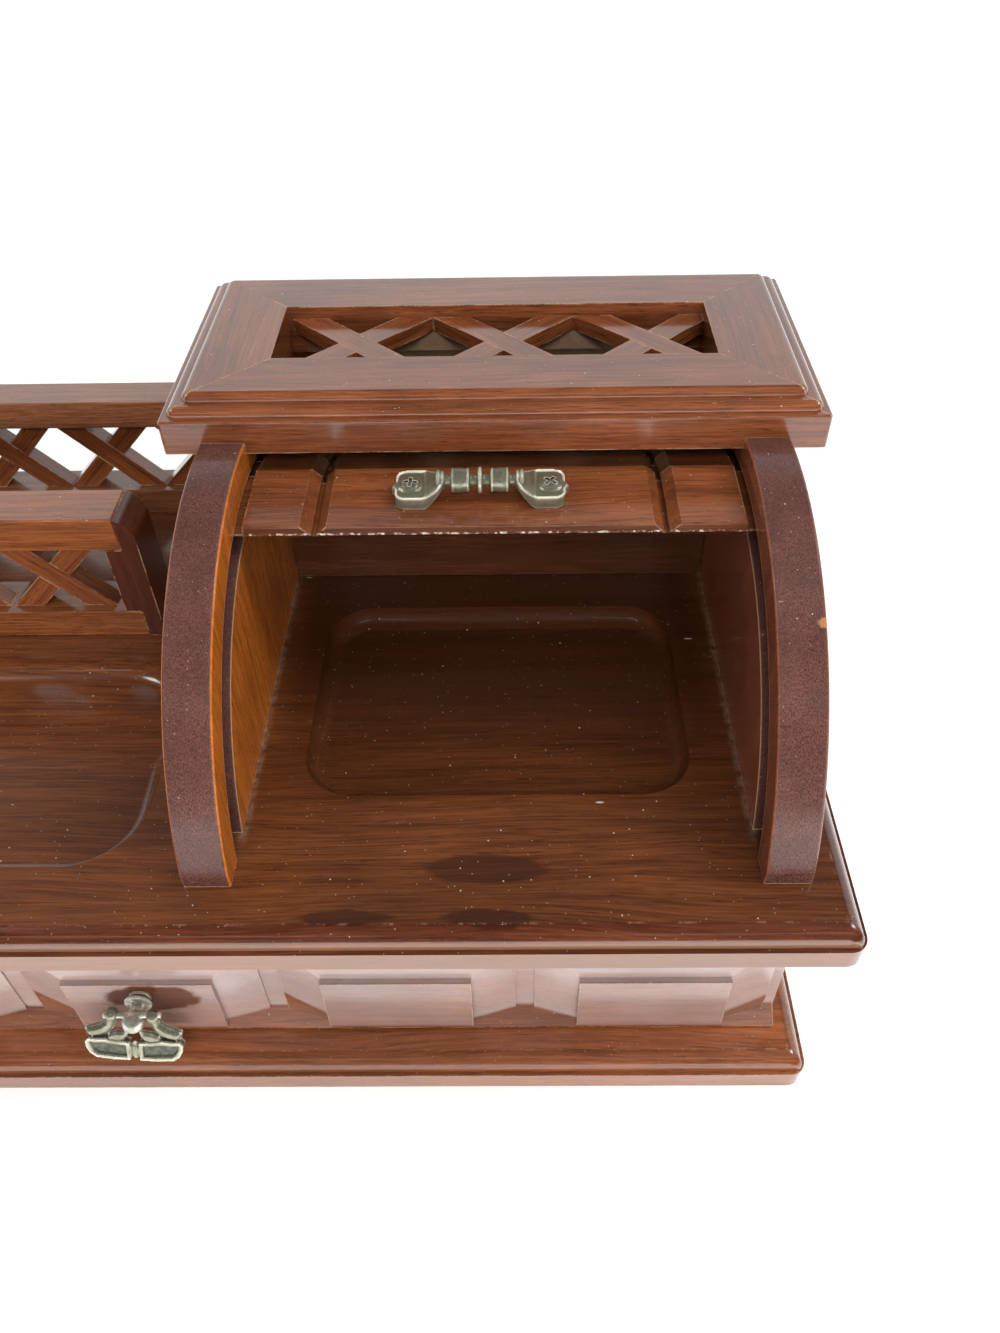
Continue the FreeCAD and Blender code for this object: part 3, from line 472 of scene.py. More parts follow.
def spot(tree, position, centre, reach, ragged=0.35, scale=110):
    """A mask round a centre with its own reach on each axis, in mm, and a ragged outline."""
    away = add(tree, "VectorMath", {0: position, 1: in_metres(centre)},
               operation="SUBTRACT").outputs[0]
    away = stretched(tree, away, [1 / (value * MM) for value in reach])
    far = add(tree, "VectorMath", {0: away}, operation="LENGTH").outputs["Value"]
    rim = product(tree, noise(tree, position, scale, 3), ragged)
    return spread(tree, calc(tree, "ADD", far, rim), 1.0 + ragged * 0.62, 0.9 + ragged * 0.45)


def drawer_front_sheen(tree, position, stain):
    """Painted sheen on the drawer front, stopping above the sill between the panels."""
    axes = add(tree, "SeparateXYZ", {0: position})
    depth = calc(tree, "SUBTRACT", axes.outputs["Y"], FIELD_Y * MM)
    above = calc(tree, "SUBTRACT", axes.outputs["Z"], SILL_Z * MM)
    sideways = facing(tree, "X")
    to_left = product(tree, spread(tree, sideways, -0.1, -0.2),
                      spread(tree, axes.outputs["X"], 0.10, 0.02, 0.0, 2.6))
    to_right = product(tree, spread(tree, sideways, 0.1, 0.2),
                       spread(tree, axes.outputs["X"], 0.10, 0.19, 0.0, 1.5))
    steep = calc(tree, "ADD", calc(tree, "ADD", to_left, to_right), 0.8)
    clear = calc(tree, "SUBTRACT", above, product(tree, depth, steep))
    sheen_share = spread(tree, clear, -0.8 * MM, 1.8 * MM)
    sheen_share = product(tree, sheen_share, spread(tree, depth, 0.1 * MM, 0.7 * MM, 0.24, 0.40),
                   spread(tree, noise(tree, position, 60, 3), 0.2, 0.8, 0.85, 1.12))
    # Round the post the sheen gives way to a painted reflection of the pull, which darkens the
    # stain.
    wear_and_reflection = spot(tree, position, PULL_REFLECTION_CENTRE, PULL_REFLECTION_REACH, 0.5, 200)
    sheen_share = product(tree, sheen_share, calc(tree, "SUBTRACT", 1.0, wear_and_reflection))
    stain = mix(tree, product(tree, wear_and_reflection, 0.6), stain, PULL_REFLECTION_DARK)
    return mix(tree, sheen_share, stain, PAINTED_SHEEN_WHITE), wear_and_reflection


# The painted sheen stops this high above the table.
print("the milk stops", SILL_Z, "mm above the table")

# %% Moulded edges
MOULDING = 5.8
DECK_HALF = (201.5, 100.7)
PLINTH_HALF = (200.1, 99.3)
# Painted shade: the moulded edges are darkened to offset the stronger light on them than on the
# tops.
DECK_EDGE_SHADE, PLINTH_EDGE_SHADE = (0.80, 0.62, 0.64), (0.72, 0.74, 0.80)
# The pale dashes along the arris are partly wear and partly a painted highlight.
PALE_DASH_HIGHLIGHT = (0.42, 0.25, 0.15)
# Painted sheen: a pale colour for the reflection on the front faces of the deck and the plinth.
PAINTED_FRONT_SHEEN = (0.62, 0.37, 0.23)
DECK_FRONT, PLINTH_FRONT = 99.5, 98.9


def edged(tree, position, stain, half, edge_shade):
    """A moulded edge darkened as painted shade, with a pale broken line of wear and painted
    highlight along the arris.
    """
    axes = add(tree, "SeparateXYZ", {0: position})
    inset = calc(tree, "MINIMUM",
                 calc(tree, "SUBTRACT", half[0] * MM, calc(tree, "ABSOLUTE", axes.outputs["X"])),
                 calc(tree, "SUBTRACT", half[1] * MM, calc(tree, "ABSOLUTE", axes.outputs["Y"])))
    band = spread(tree, inset, (MOULDING + 0.3) * MM, (MOULDING - 0.2) * MM)
    stain = mix(tree, band, stain, mix(tree, 1.0, stain, edge_shade, "MULTIPLY"))
    off = calc(tree, "ABSOLUTE", calc(tree, "SUBTRACT", inset, MOULDING * MM))
    breaks = noise(tree, stretched(tree, position, (1, 0.6, 1)), 260, 4, 0.75)
    line = product(tree, spread(tree, off, 0.45 * MM, 0.15 * MM), spread(tree, breaks, 0.52, 0.66))
    return mix(tree, product(tree, line, 0.25), stain, PALE_DASH_HIGHLIGHT), line


def front_face_sheen(tree, position, stain, line, reach, share):
    """A board's front face, which lies reach mm forward: paler by a painted sheen, and less
    varnished.
    """
    ahead = add(tree, "SeparateXYZ", {0: position}).outputs["Y"]
    front = product(tree, spread(tree, facing(tree, "Y"), -0.85, -0.97),
                    spread(tree, ahead, (1.5 - reach) * MM, -reach * MM))
    stain = mix(tree, product(tree, front, share), stain, PAINTED_FRONT_SHEEN)
    return stain, calc(tree, "MAXIMUM", line, product(tree, front, 0.3))


def plinth_marks(tree, position, stain):
    """The plinth's moulded edge in painted shade, darker and cooler than the board, and its front
    face.
    """
    stain, line = edged(tree, position, stain, PLINTH_HALF, PLINTH_EDGE_SHADE)
    return front_face_sheen(tree, position, stain, line, PLINTH_FRONT, 0.1)


print("moulded edges", MOULDING, "mm wide")

# %% Deck
INNER_WALL = 69.7
LID_SHADE_PAINTED = (0.024, 0.007, 0.003)
SPILLED = (0.030, 0.009, 0.005)
CORNER_DUST = (0.46, 0.36, 0.27)
SPILLS = (((104, -78.5, 87.5), (17.0, 4.8, 8), 0.35, 0.62),
          ((68, -92.9, 87.5), (12.5, 2.2, 8), 1.1, 0.75),
          ((104, -93.4, 87.5), (12.0, 2.8, 8), 1.1, 0.80))


def off_centre(tree, axes):
    """How far a point is from the middle of the compartment, to either side."""
    return calc(tree, "ABSOLUTE", calc(tree, "SUBTRACT", axes.outputs["X"], ROLL_CENTRE[0] * MM))


def deck_marks(tree, position, stain):
    """Painted shade under the lid, old spills, dust at the walls' feet and a front face in painted
    sheen.
    """
    axes = add(tree, "SeparateXYZ", {0: position})
    across = off_centre(tree, axes)
    # Painted shade: darker towards the back between the arched ends, where the lid shades the deck.
    shaded = product(tree, spread(tree, across, 74 * MM, 60 * MM),
                     spread(tree, axes.outputs["Y"], -75 * MM, 0.0, 0.0, 0.8))
    stain = mix(tree, shaded, stain, LID_SHADE_PAINTED)
    for centre, reach, ragged, strength in SPILLS:
        mark = product(tree, spot(tree, position, centre, reach, ragged, 150), strength)
        stain = mix(tree, mark, stain, SPILLED)
    foot = calc(tree, "ABSOLUTE", calc(tree, "SUBTRACT", across, INNER_WALL * MM))
    foot = product(tree, spread(tree, foot, 2.2 * MM, 0.1 * MM),
                   spread(tree, axes.outputs["Y"], -72 * MM, -66 * MM))
    drift = spread(tree, noise(tree, position, 420, 5, 0.75), 0.36, 0.66, 0.0, 0.26)
    stain = mix(tree, product(tree, foot, drift), stain, CORNER_DUST)
    stain, line = edged(tree, position, stain, DECK_HALF, DECK_EDGE_SHADE)
    return front_face_sheen(tree, position, stain, line, DECK_FRONT, 0.22)


print(len(SPILLS), "old spills on the deck")

# %% Lead slat and the faces under the lattice
LEAD_ARRIS = (0, -12.6, 148.1)
LEAD_FRONT = (0.035, 0.011, 0.006)
RAW_CHIP = (0.66, 0.58, 0.50)
LATTICE_PALE_GREY = (0.30, 0.21, 0.14)


def chipped(tree, position, stain):
    """The lead slat: a darker front edge, whose lower arris is chipped all along."""
    front = spread(tree, facing(tree, "Y"), -0.5, -0.8)
    stain = mix(tree, product(tree, front, 0.6), stain, LEAD_FRONT)
    away = add(tree, "VectorMath", {0: stretched(tree, position, (0, 1, 1)),
                                    1: in_metres(LEAD_ARRIS)}, operation="DISTANCE")
    chips = product(tree, spread(tree, away.outputs["Value"], 0.8 * MM, 0.4 * MM),
                    spread(tree, noise(tree, position, 620, 5, 0.8), 0.50, 0.58))
    return mix(tree, chips, stain, RAW_CHIP), chips


def paler_under_lattice(tree, position, stain):
    """Paler grey-brown on the faces that show through the lid's lattice, below its strips."""
    axes = add(tree, "SeparateXYZ", {0: position})
    film = product(tree, spread(tree, off_centre(tree, axes), 62 * MM, 52 * MM),
                   spread(tree, axes.outputs["Z"], 164 * MM, 162.5 * MM),
                   spread(tree, facing(tree, "Y"), -0.5, -0.9),
                   spread(tree, noise(tree, position, 240, 4, 0.7), 0.25, 0.75, 0.55, 0.9))
    return mix(tree, film, stain, LATTICE_PALE_GREY), product(tree, film, 0.5)


print("the lead slat is chipped along", LEAD_ARRIS)

# %% Arched ends
GROOVE_INNER, GROOVE_OUTER = 71.3, 80.7
GROOVE_SOFT = 0.3
GROOVE_FLOOR = 75.2
GROOVE_DARK, GROOVE_FUZZ = (0.06, 0.026, 0.018), (0.34, 0.20, 0.13)
LEATHER_DARK, LEATHER_PALE = (0.036, 0.014, 0.012), (0.150, 0.060, 0.044)
LEATHER_CLOUD = (0.040, 0.017, 0.017)
CHIP_CENTRE, CHIP_REACH = (189.4, -46.5, 145.7), (2.6, 1.7, 1.2)
CHIP_WOOD = (0.34, 0.14, 0.055)


def arched(tree, position, stain):
    """A leathery edge, a bare groove round the roll's axis, and one chip."""
    side = spread(tree, calc(tree, "ABSOLUTE", facing(tree, "X")), 0.4, 0.7)
    leather = noise(tree, stretched(tree, position, (1, 0.6, 0.6)), 3300, 3, 0.7)
    cloudy = spread(tree, noise(tree, position, 130, 3), 0.3, 0.7, 0.0, 0.35)
    edge = mix(tree, spread(tree, leather, 0.32, 0.70), LEATHER_DARK, LEATHER_PALE)
    edge = mix(tree, cloudy, edge, LEATHER_CLOUD)
    stain = mix(tree, side, edge, stain)

    hub = add(tree, "VectorMath", {0: position, 1: in_metres((0, *ROLL_CENTRE[1:]))},
              operation="SUBTRACT").outputs[0]
    radius = add(tree, "VectorMath", {0: stretched(tree, hub, (0, 1, 1))},
                 operation="LENGTH").outputs["Value"]
    across = off_centre(tree, add(tree, "SeparateXYZ", {0: position}))
    groove = product(
        tree, side, calc(tree, "LESS_THAN", across, GROOVE_FLOOR * MM),
        spread(tree, radius, GROOVE_INNER * MM, (GROOVE_INNER + GROOVE_SOFT) * MM),
        spread(tree, radius, GROOVE_OUTER * MM, (GROOVE_OUTER - GROOVE_SOFT) * MM))
    fuzz = spread(tree, noise(tree, position, 1300, 4, 0.7), 0.38, 0.66)
    stain = mix(tree, groove, stain, mix(tree, fuzz, GROOVE_DARK, GROOVE_FUZZ))

    chip = spot(tree, position, CHIP_CENTRE, CHIP_REACH, 1.2, 700)
    stain = mix(tree, product(tree, chip, 0.8), stain, CHIP_WOOD)
    return stain, calc(tree, "MAXIMUM", groove, chip)


print("the groove is", round(GROOVE_OUTER - GROOVE_INNER, 1), "mm wide")

# %% [markdown]
# ### Which board gets which finish
# The grain runs the long way of each piece. The deck, the rails and the slats run along X, the
# lid's end members run along Y, the arched sides and posts stand upright, and each lattice strip
# runs along itself. Boards that were stained from different tins differ a little in colour.
# Some stains also hold painted light: the left arched end is paler than the right, the rack's
# ends and the false back are darker, and the plinth is paler, for how light falls on them.
# The drawer's sides, back and bottom and its runners are a plain pale wood.

# %% Colours and grain directions
DEEP = (0.048, 0.013, 0.0045)
BROWN = (0.20, 0.064, 0.020)
RED_DEEP = (0.062, 0.015, 0.0055)
RED = (0.245, 0.074, 0.024)
LID_DEEP = (0.054, 0.013, 0.005)
LID = (0.22, 0.066, 0.023)
ALONG_X = (0, 0, 0)
ALONG_Y = (0, 0, 90)
UPRIGHT = (0, 90, 0)
STRIP_ANGLE = 46
LID_STRIP_ANGLE = 44.5
print("grain directions", ALONG_X, ALONG_Y, UPRIGHT)

# %% Finishes for the boards
FINISHES = {
    "deck_board": ((0.038, 0.010, 0.0035), (0.155, 0.047, 0.014), ALONG_X,
                   {"over": deck_marks, "wear": 0.3}),
    # Painted light: the plinth is stained pale so that its top, in the deck's shade, still reads
    # bright.
    "plinth_board": ((0.12, 0.033, 0.011), (0.36, 0.111, 0.039), ALONG_X,
                     {"over": plinth_marks}),
    "case_side_left": (DEEP, BROWN, ALONG_Y, {}),
    "case_side_right": (DEEP, BROWN, ALONG_Y, {}),
    "case_back": (DEEP, BROWN, ALONG_X, {}),
    "case_rail": (DEEP, BROWN, ALONG_X, {}),
    "drawer_front": (RED_DEEP, RED, ALONG_X, {"over": drawer_front_sheen}),
    # Painted light: the left end is stained paler and more orange for the light on its inner wall,
    # and the right end darker for the shade on its own.
    "end_panel_left": ((0.22, 0.055, 0.008), (0.62, 0.175, 0.022), UPRIGHT,
                       {"over": arched, "coat_ior": 1.2, "wear": 1.25}),
    "end_panel_right": ((0.10, 0.026, 0.014), (0.30, 0.09, 0.045), UPRIGHT,
                        {"over": arched, "coat_ior": 1.2, "wear": 1.25}),
    "cabinet_back": (DEEP, BROWN, ALONG_X, {"over": paler_under_lattice}),
    # Painted shade: the false back is stained very dark for the shade deep under the lid.
    "false_back": ((0.022, 0.007, 0.003), (0.078, 0.025, 0.010), ALONG_X, {}),
    "cap_front_rail": (LID_DEEP, LID, ALONG_X, {}),
    "cap_back_rail": (LID_DEEP, LID, ALONG_X, {"over": paler_under_lattice}),
    "cap_left_stile": (LID_DEEP, LID, ALONG_Y, {}),
    "cap_right_stile": (LID_DEEP, LID, ALONG_Y, {}),
    # Painted shade: the rack's ends are stained much darker than its rails, for their sides that
    # face the dark arched end.
    "rack_end_left": ((0.035, 0.008, 0.003), (0.11, 0.030, 0.010), UPRIGHT, {}),
    "rack_end_right": ((0.026, 0.006, 0.003), (0.085, 0.020, 0.010), UPRIGHT, {}),
    "gallery_end": (RED_DEEP, RED, UPRIGHT, {}),
}
for name in ("rack_top_rail", "rack_low_rail"):
    FINISHES[name] = ((0.075, 0.019, 0.006), (0.30, 0.094, 0.029), ALONG_X, {})
for name in ("gallery_top_rail", "gallery_low_rail"):
    FINISHES[name] = ((0.07, 0.023, 0.010), (0.25, 0.095, 0.042), ALONG_X, {})
for place in ("rack", "gallery"):
    FINISHES[f"{place}_lattice_rising"] = (RED_DEEP, RED, (0, STRIP_ANGLE, 0), {})
    FINISHES[f"{place}_lattice_falling"] = (RED_DEEP, RED, (0, -STRIP_ANGLE, 0), {})
for number in (1, 2, 3):
    FINISHES[f"cap_strip_{number}a"] = (RED_DEEP, RED, (0, 0, -LID_STRIP_ANGLE), {})
    FINISHES[f"cap_strip_{number}b"] = (RED_DEEP, RED, (0, 0, LID_STRIP_ANGLE), {})
for name in [f"slat_{number}" for number in range(1, 8)]:
    FINISHES[name] = (RED_DEEP, RED, ALONG_X, {"coat_ior": 1.45})
FINISHES["lead_slat"] = (RED_DEEP, RED, ALONG_X, {"coat_ior": 1.45, "over": chipped})
for name, (dark, light, turn, extra) in FINISHES.items():
    finish(wood(f"stained {name}".replace("_", " "), dark, light, turn, **extra), name)
print(len(FINISHES), "stained boards")

# %% Finishes inside the case
PALE_DEEP = (0.26, 0.14, 0.065)
PALE = (0.46, 0.29, 0.15)
PLAIN = {
    "drawer_side_left": ALONG_Y, "drawer_side_right": ALONG_Y, "drawer_back": ALONG_X,
    "drawer_bottom": ALONG_X, "drawer_runner_left": ALONG_Y, "drawer_runner_right": ALONG_Y,
}
for name, turn in PLAIN.items():
    finish(wood(f"plain {name}".replace("_", " "), PALE_DEEP, PALE, turn, gloss=0.4, dust=0.1,
                coat_ior=1.4), name)
print(len(PLAIN), "plain boards")

# %% [markdown]
# ## Aged castings
# The handle and the drawer pull are cast in a white metal and plated. The high parts are worn,
# and painted pale there as a painted highlight. The hollows hold dark dirt, and the plating has
# gone yellow-green in patches.
# Ambient occlusion measured outwards finds the hollows, as it found the edges when measured
# inwards. A fine bump gives the sandy skin of a casting. The sunk ground of the pendant is the
# grimiest part, so its metal is told where the pendant's face lies.

# %% Casting recipe
HOLLOW, given, made = new_group("Dark Hollows", [("Place", "Vector", None)], ["Hollow", "Skin"])
outward = add(HOLLOW, "AmbientOcclusion", {"Distance": 2.2 * MM}, samples=6, only_local=True)
feed(HOLLOW, made.inputs["Hollow"], spread(HOLLOW, outward.outputs["AO"], 0.82, 0.35))
feed(HOLLOW, made.inputs["Skin"], noise(HOLLOW, given.outputs["Place"], 1600, 3, 0.6))
PATINA = (0.27, 0.27, 0.155)
WORN_RIM_HIGHLIGHT = (0.88, 0.84, 0.68)


def casting(name, bright, dirt, rough, rim=0.9, sunk=None):
    """Plated metal, whose rubbed rims, pale with a painted highlight, are rim mm wide.

    sunk may give a plane's point and normal: what isn't above that plane is grimy.
    """
    material = bpy.data.materials.new(name)
    material.use_nodes = True
    tree = material.node_tree
    shader = tree.nodes["Principled BSDF"]
    position = add(tree, "TexCoord").outputs["Object"]
    hollow = use(tree, HOLLOW, {"Place": position})
    worn = use(tree, WEAR, {"Place": position, "Reach": rim * MM, "Amount": 2.4})
    patina = spread(tree, noise(tree, position, 330, 3, 0.6), 0.38, 0.66)
    colour = mix(tree, product(tree, patina, 0.7), bright, PATINA)
    grime = hollow.outputs["Hollow"]
    if sunk:
        plane = add(tree, "VectorMath", {0: position, 1: sunk[0]}, operation="SUBTRACT").outputs[0]
        height = add(tree, "VectorMath", {0: plane, 1: sunk[1]}, operation="DOT_PRODUCT")
        low = spread(tree, height.outputs["Value"], 0.75 * MM, 0.35 * MM)
        spotty = spread(tree, noise(tree, position, 700, 3), 0.3, 0.7, 0.7, 1.0)
        grime = calc(tree, "MAXIMUM", grime, product(tree, low, spotty))
    colour = mix(tree, product(tree, grime, 0.92), colour, dirt)
    # The rims are worn, and painted pale as a highlight.
    colour = mix(tree, product(tree, worn.outputs["Wear"], 0.85), colour, WORN_RIM_HIGHLIGHT)
    feed(tree, shader.inputs["Base Color"], colour)
    feed(tree, shader.inputs["Metallic"],
         calc(tree, "SUBTRACT", calc(tree, "SUBTRACT", 0.85, product(tree, grime, 0.4)),
              product(tree, worn.outputs["Wear"], 0.45), clamp=True))
    feed(tree, shader.inputs["Roughness"],
         calc(tree, "ADD", rough, product(tree, patina, 0.16)))
    bump = add(tree, "Bump", {"Height": hollow.outputs["Skin"], "Strength": 0.6,
                              "Distance": 0.00012})
    feed(tree, shader.inputs["Normal"], bump.outputs[0])
    return material


CAST_BRIGHT, CAST_DIRT = (0.33, 0.325, 0.25), (0.036, 0.038, 0.026)
CAST = casting("aged casting", CAST_BRIGHT, CAST_DIRT, 0.30)
RUBBED = casting("rubbed casting", (0.80, 0.79, 0.72), CAST_DIRT, 0.24)
PIN = Vector((0, -93.8, 36.8)) * MM
LEAN = math.radians(21)
PENDANT = casting("aged pendant", CAST_BRIGHT, CAST_DIRT, 0.24,
                  rim=1.1, sunk=(PIN, (0, -math.cos(LEAN), math.sin(LEAN))))
STEEL = casting("screw steel", (0.30, 0.29, 0.24), (0.012, 0.011, 0.008), 0.30, 0.22)
finish(STEEL, "pull_screw")
print("castings", [material.name for material in (CAST, RUBBED, PENDANT, STEEL)])

# %% [markdown]
# ### Turned parts and fused castings
# Round parts are turned: a few points give half of the outline, and a full spin round an axis
# makes the solid. A casting is one skin, so its separate lumps are fused with a voxel remesh
# and eased with a little smoothing, which also gives the soft corners of a mould.

# %% Shaping helpers
def turned(bm, outline, axis, centre, steps=40):
    """Spin an outline of (along, radius) points in mm round an axis, closed at both ends."""
    along = Vector(axis)
    side = along.orthogonal().normalized()
    centre = Vector(centre)
    points = [bm.verts.new(centre + along * (a * MM) + side * (r * MM)) for a, r in outline]
    edges = [bm.edges.new(pair) for pair in zip(points, points[1:])]
    bmesh.ops.spin(bm, geom=points + edges, cent=centre, axis=along, steps=steps,
                   angle=math.tau, use_merge=True)


def slab(bm, outline, near, far):
    """A flat plate from an outline of (x, z) points in mm. Gives back its near face in Y."""
    corners = [bm.verts.new((x * MM, near * MM, z * MM)) for x, z in outline]
    face = bm.faces.new(corners)
    made = bmesh.ops.extrude_face_region(bm, geom=[face])
    moved = [item for item in made["geom"] if isinstance(item, bmesh.types.BMVert)]
    bmesh.ops.translate(bm, verts=moved, vec=(0, (far - near) * MM, 0))
    return face


def casting_piece(name, bm, body, node, material, voxel, smooth=3):
    """Close and fuse a casting, then let it stand for its solid."""
    bmesh.ops.remove_doubles(bm, verts=bm.verts, dist=0.01 * MM)
    bmesh.ops.recalc_face_normals(bm, faces=bm.faces)
    piece = bpy.data.objects.new(name, bpy.data.meshes.new(name))
    bm.to_mesh(piece.data)
    bm.free()
    scene.collection.objects.link(piece)
    piece.data.materials.append(material)
    if voxel:
        fuse = piece.modifiers.new("fuse", "REMESH")
        fuse.mode = "VOXEL"
        fuse.voxel_size = voxel * MM
        fuse.use_smooth_shade = True
        ease = piece.modifiers.new("ease", "SMOOTH")
        ease.iterations = smooth
        ease.factor = 0.5
    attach(piece, body)
    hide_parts(node)
    low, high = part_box(node)
    print(name, "stands for", node, [round(v * 1000, 1) for v in high - low], "mm")
    return piece


print("shaping helpers are ready")

# %% [markdown]
# ### The bridge handle
# Two screwed feet carry a turned bar across the lead slat. Each foot has a raised rim, a small
# ear at its outer end and an arm that narrows as it climbs to the bar. The whole casting is
# built flat over the origin, and one matrix then lays it on the tilted slat.

# %% Handle
HANDLE_SHIFT = -3.8
SCREW_REACH = 19.1
SLAT_FACE = 80.0
LEAD_TILT = math.radians(2.3)
FOOT_SIZE = (8.2, 12.3, 4.2)
FOOT_CORNER = 2.8
BAR_HEIGHT = 5.2
EAR_REACH = SCREW_REACH + 3.7
on_slat = (Matrix.Translation(Vector(ROLL_CENTRE) * MM) @ Matrix.Rotation(LEAD_TILT, 4, "X")
           @ Matrix.Translation(Vector((HANDLE_SHIFT, 0, SLAT_FACE)) * MM))
HALF_BAR = [(0.0, 3.7), (0.35, 3.6), (0.6, 3.2), (0.75, 1.8), (1.6, 1.5), (2.7, 1.6), (2.9, 3.0),
            (3.2, 3.35), (3.6, 3.1), (4.6, 3.3), (6.0, 3.4), (7.1, 3.2), (7.5, 3.4), (7.8, 2.9),
            (8.0, 1.6), (8.8, 1.5), (9.5, 1.6), (9.8, 2.4), (10.2, 2.7), (10.6, 2.1), (11.0, 2.8),
            (11.5, 2.9), (12.1, 2.3), (12.5, 0.0)]
bar_outline = [(-along, radius) for along, radius in reversed(HALF_BAR[1:])] + HALF_BAR[1:]
bm = bmesh.new()
turned(bm, bar_outline, (1, 0, 0), (0, 0, BAR_HEIGHT * MM))
for sign in (-1, 1):
    foot = bmesh.ops.create_cube(bm, size=MM)["verts"]
    bmesh.ops.scale(bm, verts=foot, vec=FOOT_SIZE)
    bmesh.ops.translate(bm, verts=foot, vec=(sign * SCREW_REACH * MM, 0, FOOT_SIZE[2] / 2 * MM))
    corners = [edge for edge in {edge for vert in foot for edge in vert.link_edges}
               if sign * edge.verts[0].co.x > SCREW_REACH * MM
               and sign * edge.verts[1].co.x > SCREW_REACH * MM
               and abs(edge.verts[0].co.z - edge.verts[1].co.z) > MM]
    made = bmesh.ops.bevel(bm, geom=corners, offset=FOOT_CORNER * MM, offset_type="OFFSET",
                           segments=5, profile=0.5, affect="EDGES", material=-1)
    foot = list({vert for vert in foot if vert.is_valid} | set(made["verts"]))
    top = max({face for vert in foot for face in vert.link_faces},
              key=lambda face: face.calc_center_median().z)
    inner = min({face for vert in foot for face in vert.link_faces},
                key=lambda face: abs(face.calc_center_median().x))
    climb = [inner]
    for out, up, width, tall in ((-1.0, 0.2, 0.94, 0.9), (-2.0, 1.2, 0.78, 0.72),
                                 (-1.7, 1.6, 0.68, 0.85)):
        made = bmesh.ops.extrude_discrete_faces(bm, faces=climb)
        climb = made["faces"]
        verts = list(climb[0].verts)
        bmesh.ops.translate(bm, verts=verts, vec=(sign * out * MM, 0, up * MM))
        middle = climb[0].calc_center_median()
        bmesh.ops.scale(bm, verts=verts, vec=(1, width, tall), space=Matrix.Translation(-middle))
    bmesh.ops.inset_region(bm, faces=[top], thickness=0.7 * MM, depth=0)
    bmesh.ops.translate(bm, verts=list(top.verts), vec=(0, 0, -0.6 * MM))
    turned(bm, [(1.4, 0), (1.4, 1.4), (3.6, 1.4), (4.1, 0.9), (4.2, 0)], (0, 0, 1),
           (sign * EAR_REACH * MM, -0.6 * MM, 0), 20)
    turned(bm, [(2.9, 0), (2.9, 3.4), (3.9, 3.4), (4.2, 3.1), (4.2, 0)], (0, 0, 1),
           (sign * SCREW_REACH * MM, 0, 0), 28)
bmesh.ops.transform(bm, matrix=on_slat, verts=bm.verts)
casting_piece("bridge_handle", bm, "tambour", "tambour_handle", CAST, 0.24)

# %% [markdown]
# ### Cross-head screws
# The two screws have low domed heads with a cross cut in them. The head is turned. The cross is
# two thin blocks taken away with a boolean, whose result replaces the mesh.

# %% Screws
def carved(piece, tool):
    """Take a tool's shape out of a piece for good, and remove the tool."""
    cut = piece.modifiers.new("cut", "BOOLEAN")
    cut.object = tool
    cut.solver = "EXACT"
    cut.use_self = True
    ready = piece.evaluated_get(bpy.context.evaluated_depsgraph_get())
    mesh = bpy.data.meshes.new_from_object(ready)
    piece.modifiers.clear()
    piece.data = mesh
    bpy.data.objects.remove(tool)


SCREW_SUNK = 0.5
CROSS_ARM = (3.9, 1.0, 2.4)
bm = bmesh.new()
cross = bmesh.new()
for sign in (-1, 1):
    place = Vector((sign * SCREW_REACH, 0, FOOT_SIZE[2] - SCREW_SUNK)) * MM
    turned(bm, [(0, 0), (0, 2.65), (0.55, 2.7), (1.0, 2.3), (1.3, 1.3), (1.38, 0)], (0, 0, 1),
           place, 32)
    turned(bm, [(-7.1, 0), (-7.1, 1.2), (-6.6, 1.48), (0.2, 1.48), (0.2, 0)], (0, 0, 1), place, 24)
    for turn in (0.4, 0.4 + math.pi / 2):
        arm = bmesh.ops.create_cube(cross, size=MM)["verts"]
        bmesh.ops.scale(cross, verts=arm, vec=CROSS_ARM)
        bmesh.ops.rotate(cross, verts=arm, cent=(0, 0, 0),
                         matrix=Matrix.Rotation(turn + 0.5 * sign, 3, "Z"))
        bmesh.ops.translate(cross, verts=arm, vec=place + Vector((0, 0, 1.35 * MM)))
bmesh.ops.transform(bm, matrix=on_slat, verts=bm.verts)
bmesh.ops.transform(cross, matrix=on_slat, verts=cross.verts)
tool = bpy.data.objects.new("cross_tool", bpy.data.meshes.new("cross_tool"))
cross.to_mesh(tool.data)
cross.free()
scene.collection.objects.link(tool)
screws = casting_piece("cross_screws", bm, "tambour", "handle_screws", STEEL, 0)
carved(screws, tool)
screws.data.materials.clear()
screws.data.materials.append(STEEL)

# %% [markdown]
# ### The post of the drawer pull
# A turned post stands out from the middle field: a flat boss, a thin washer, a neck and a ball.
# A cross pin goes through it, and the pendant hangs on the pin's two ends.

# %% Post
PULL_Z = 34.5
BALL_REACH = 8.1
BALL_RADIUS = 3.35
bm = bmesh.new()
post = [(0, 0), (0, 3.3), (0.9, 3.3), (1.2, 2.6), (1.4, 2.3), (1.6, 3.8), (2.2, 4.2), (2.8, 4.0),
        (3.1, 2.5), (4.0, 2.0), (4.8, 2.2)]
ball = [(BALL_REACH - BALL_RADIUS * math.cos(math.radians(angle)),
         BALL_RADIUS * math.sin(math.radians(angle))) for angle in range(40, 180, 10)]
turned(bm, post + ball + [(BALL_REACH + BALL_RADIUS, 0)], (0, -1, 0),
       Vector((0, FIELD_Y, PULL_Z)) * MM, 48)
turned(bm, [(-8.5, 0), (-8.5, 0.6), (-8.2, 0.88), (8.2, 0.88), (8.5, 0.6), (8.5, 0)], (1, 0, 0),
       PIN, 24)
casting_piece("pull_post_turned", bm, "drawer", "pull_post", RUBBED, 0.2, 1)

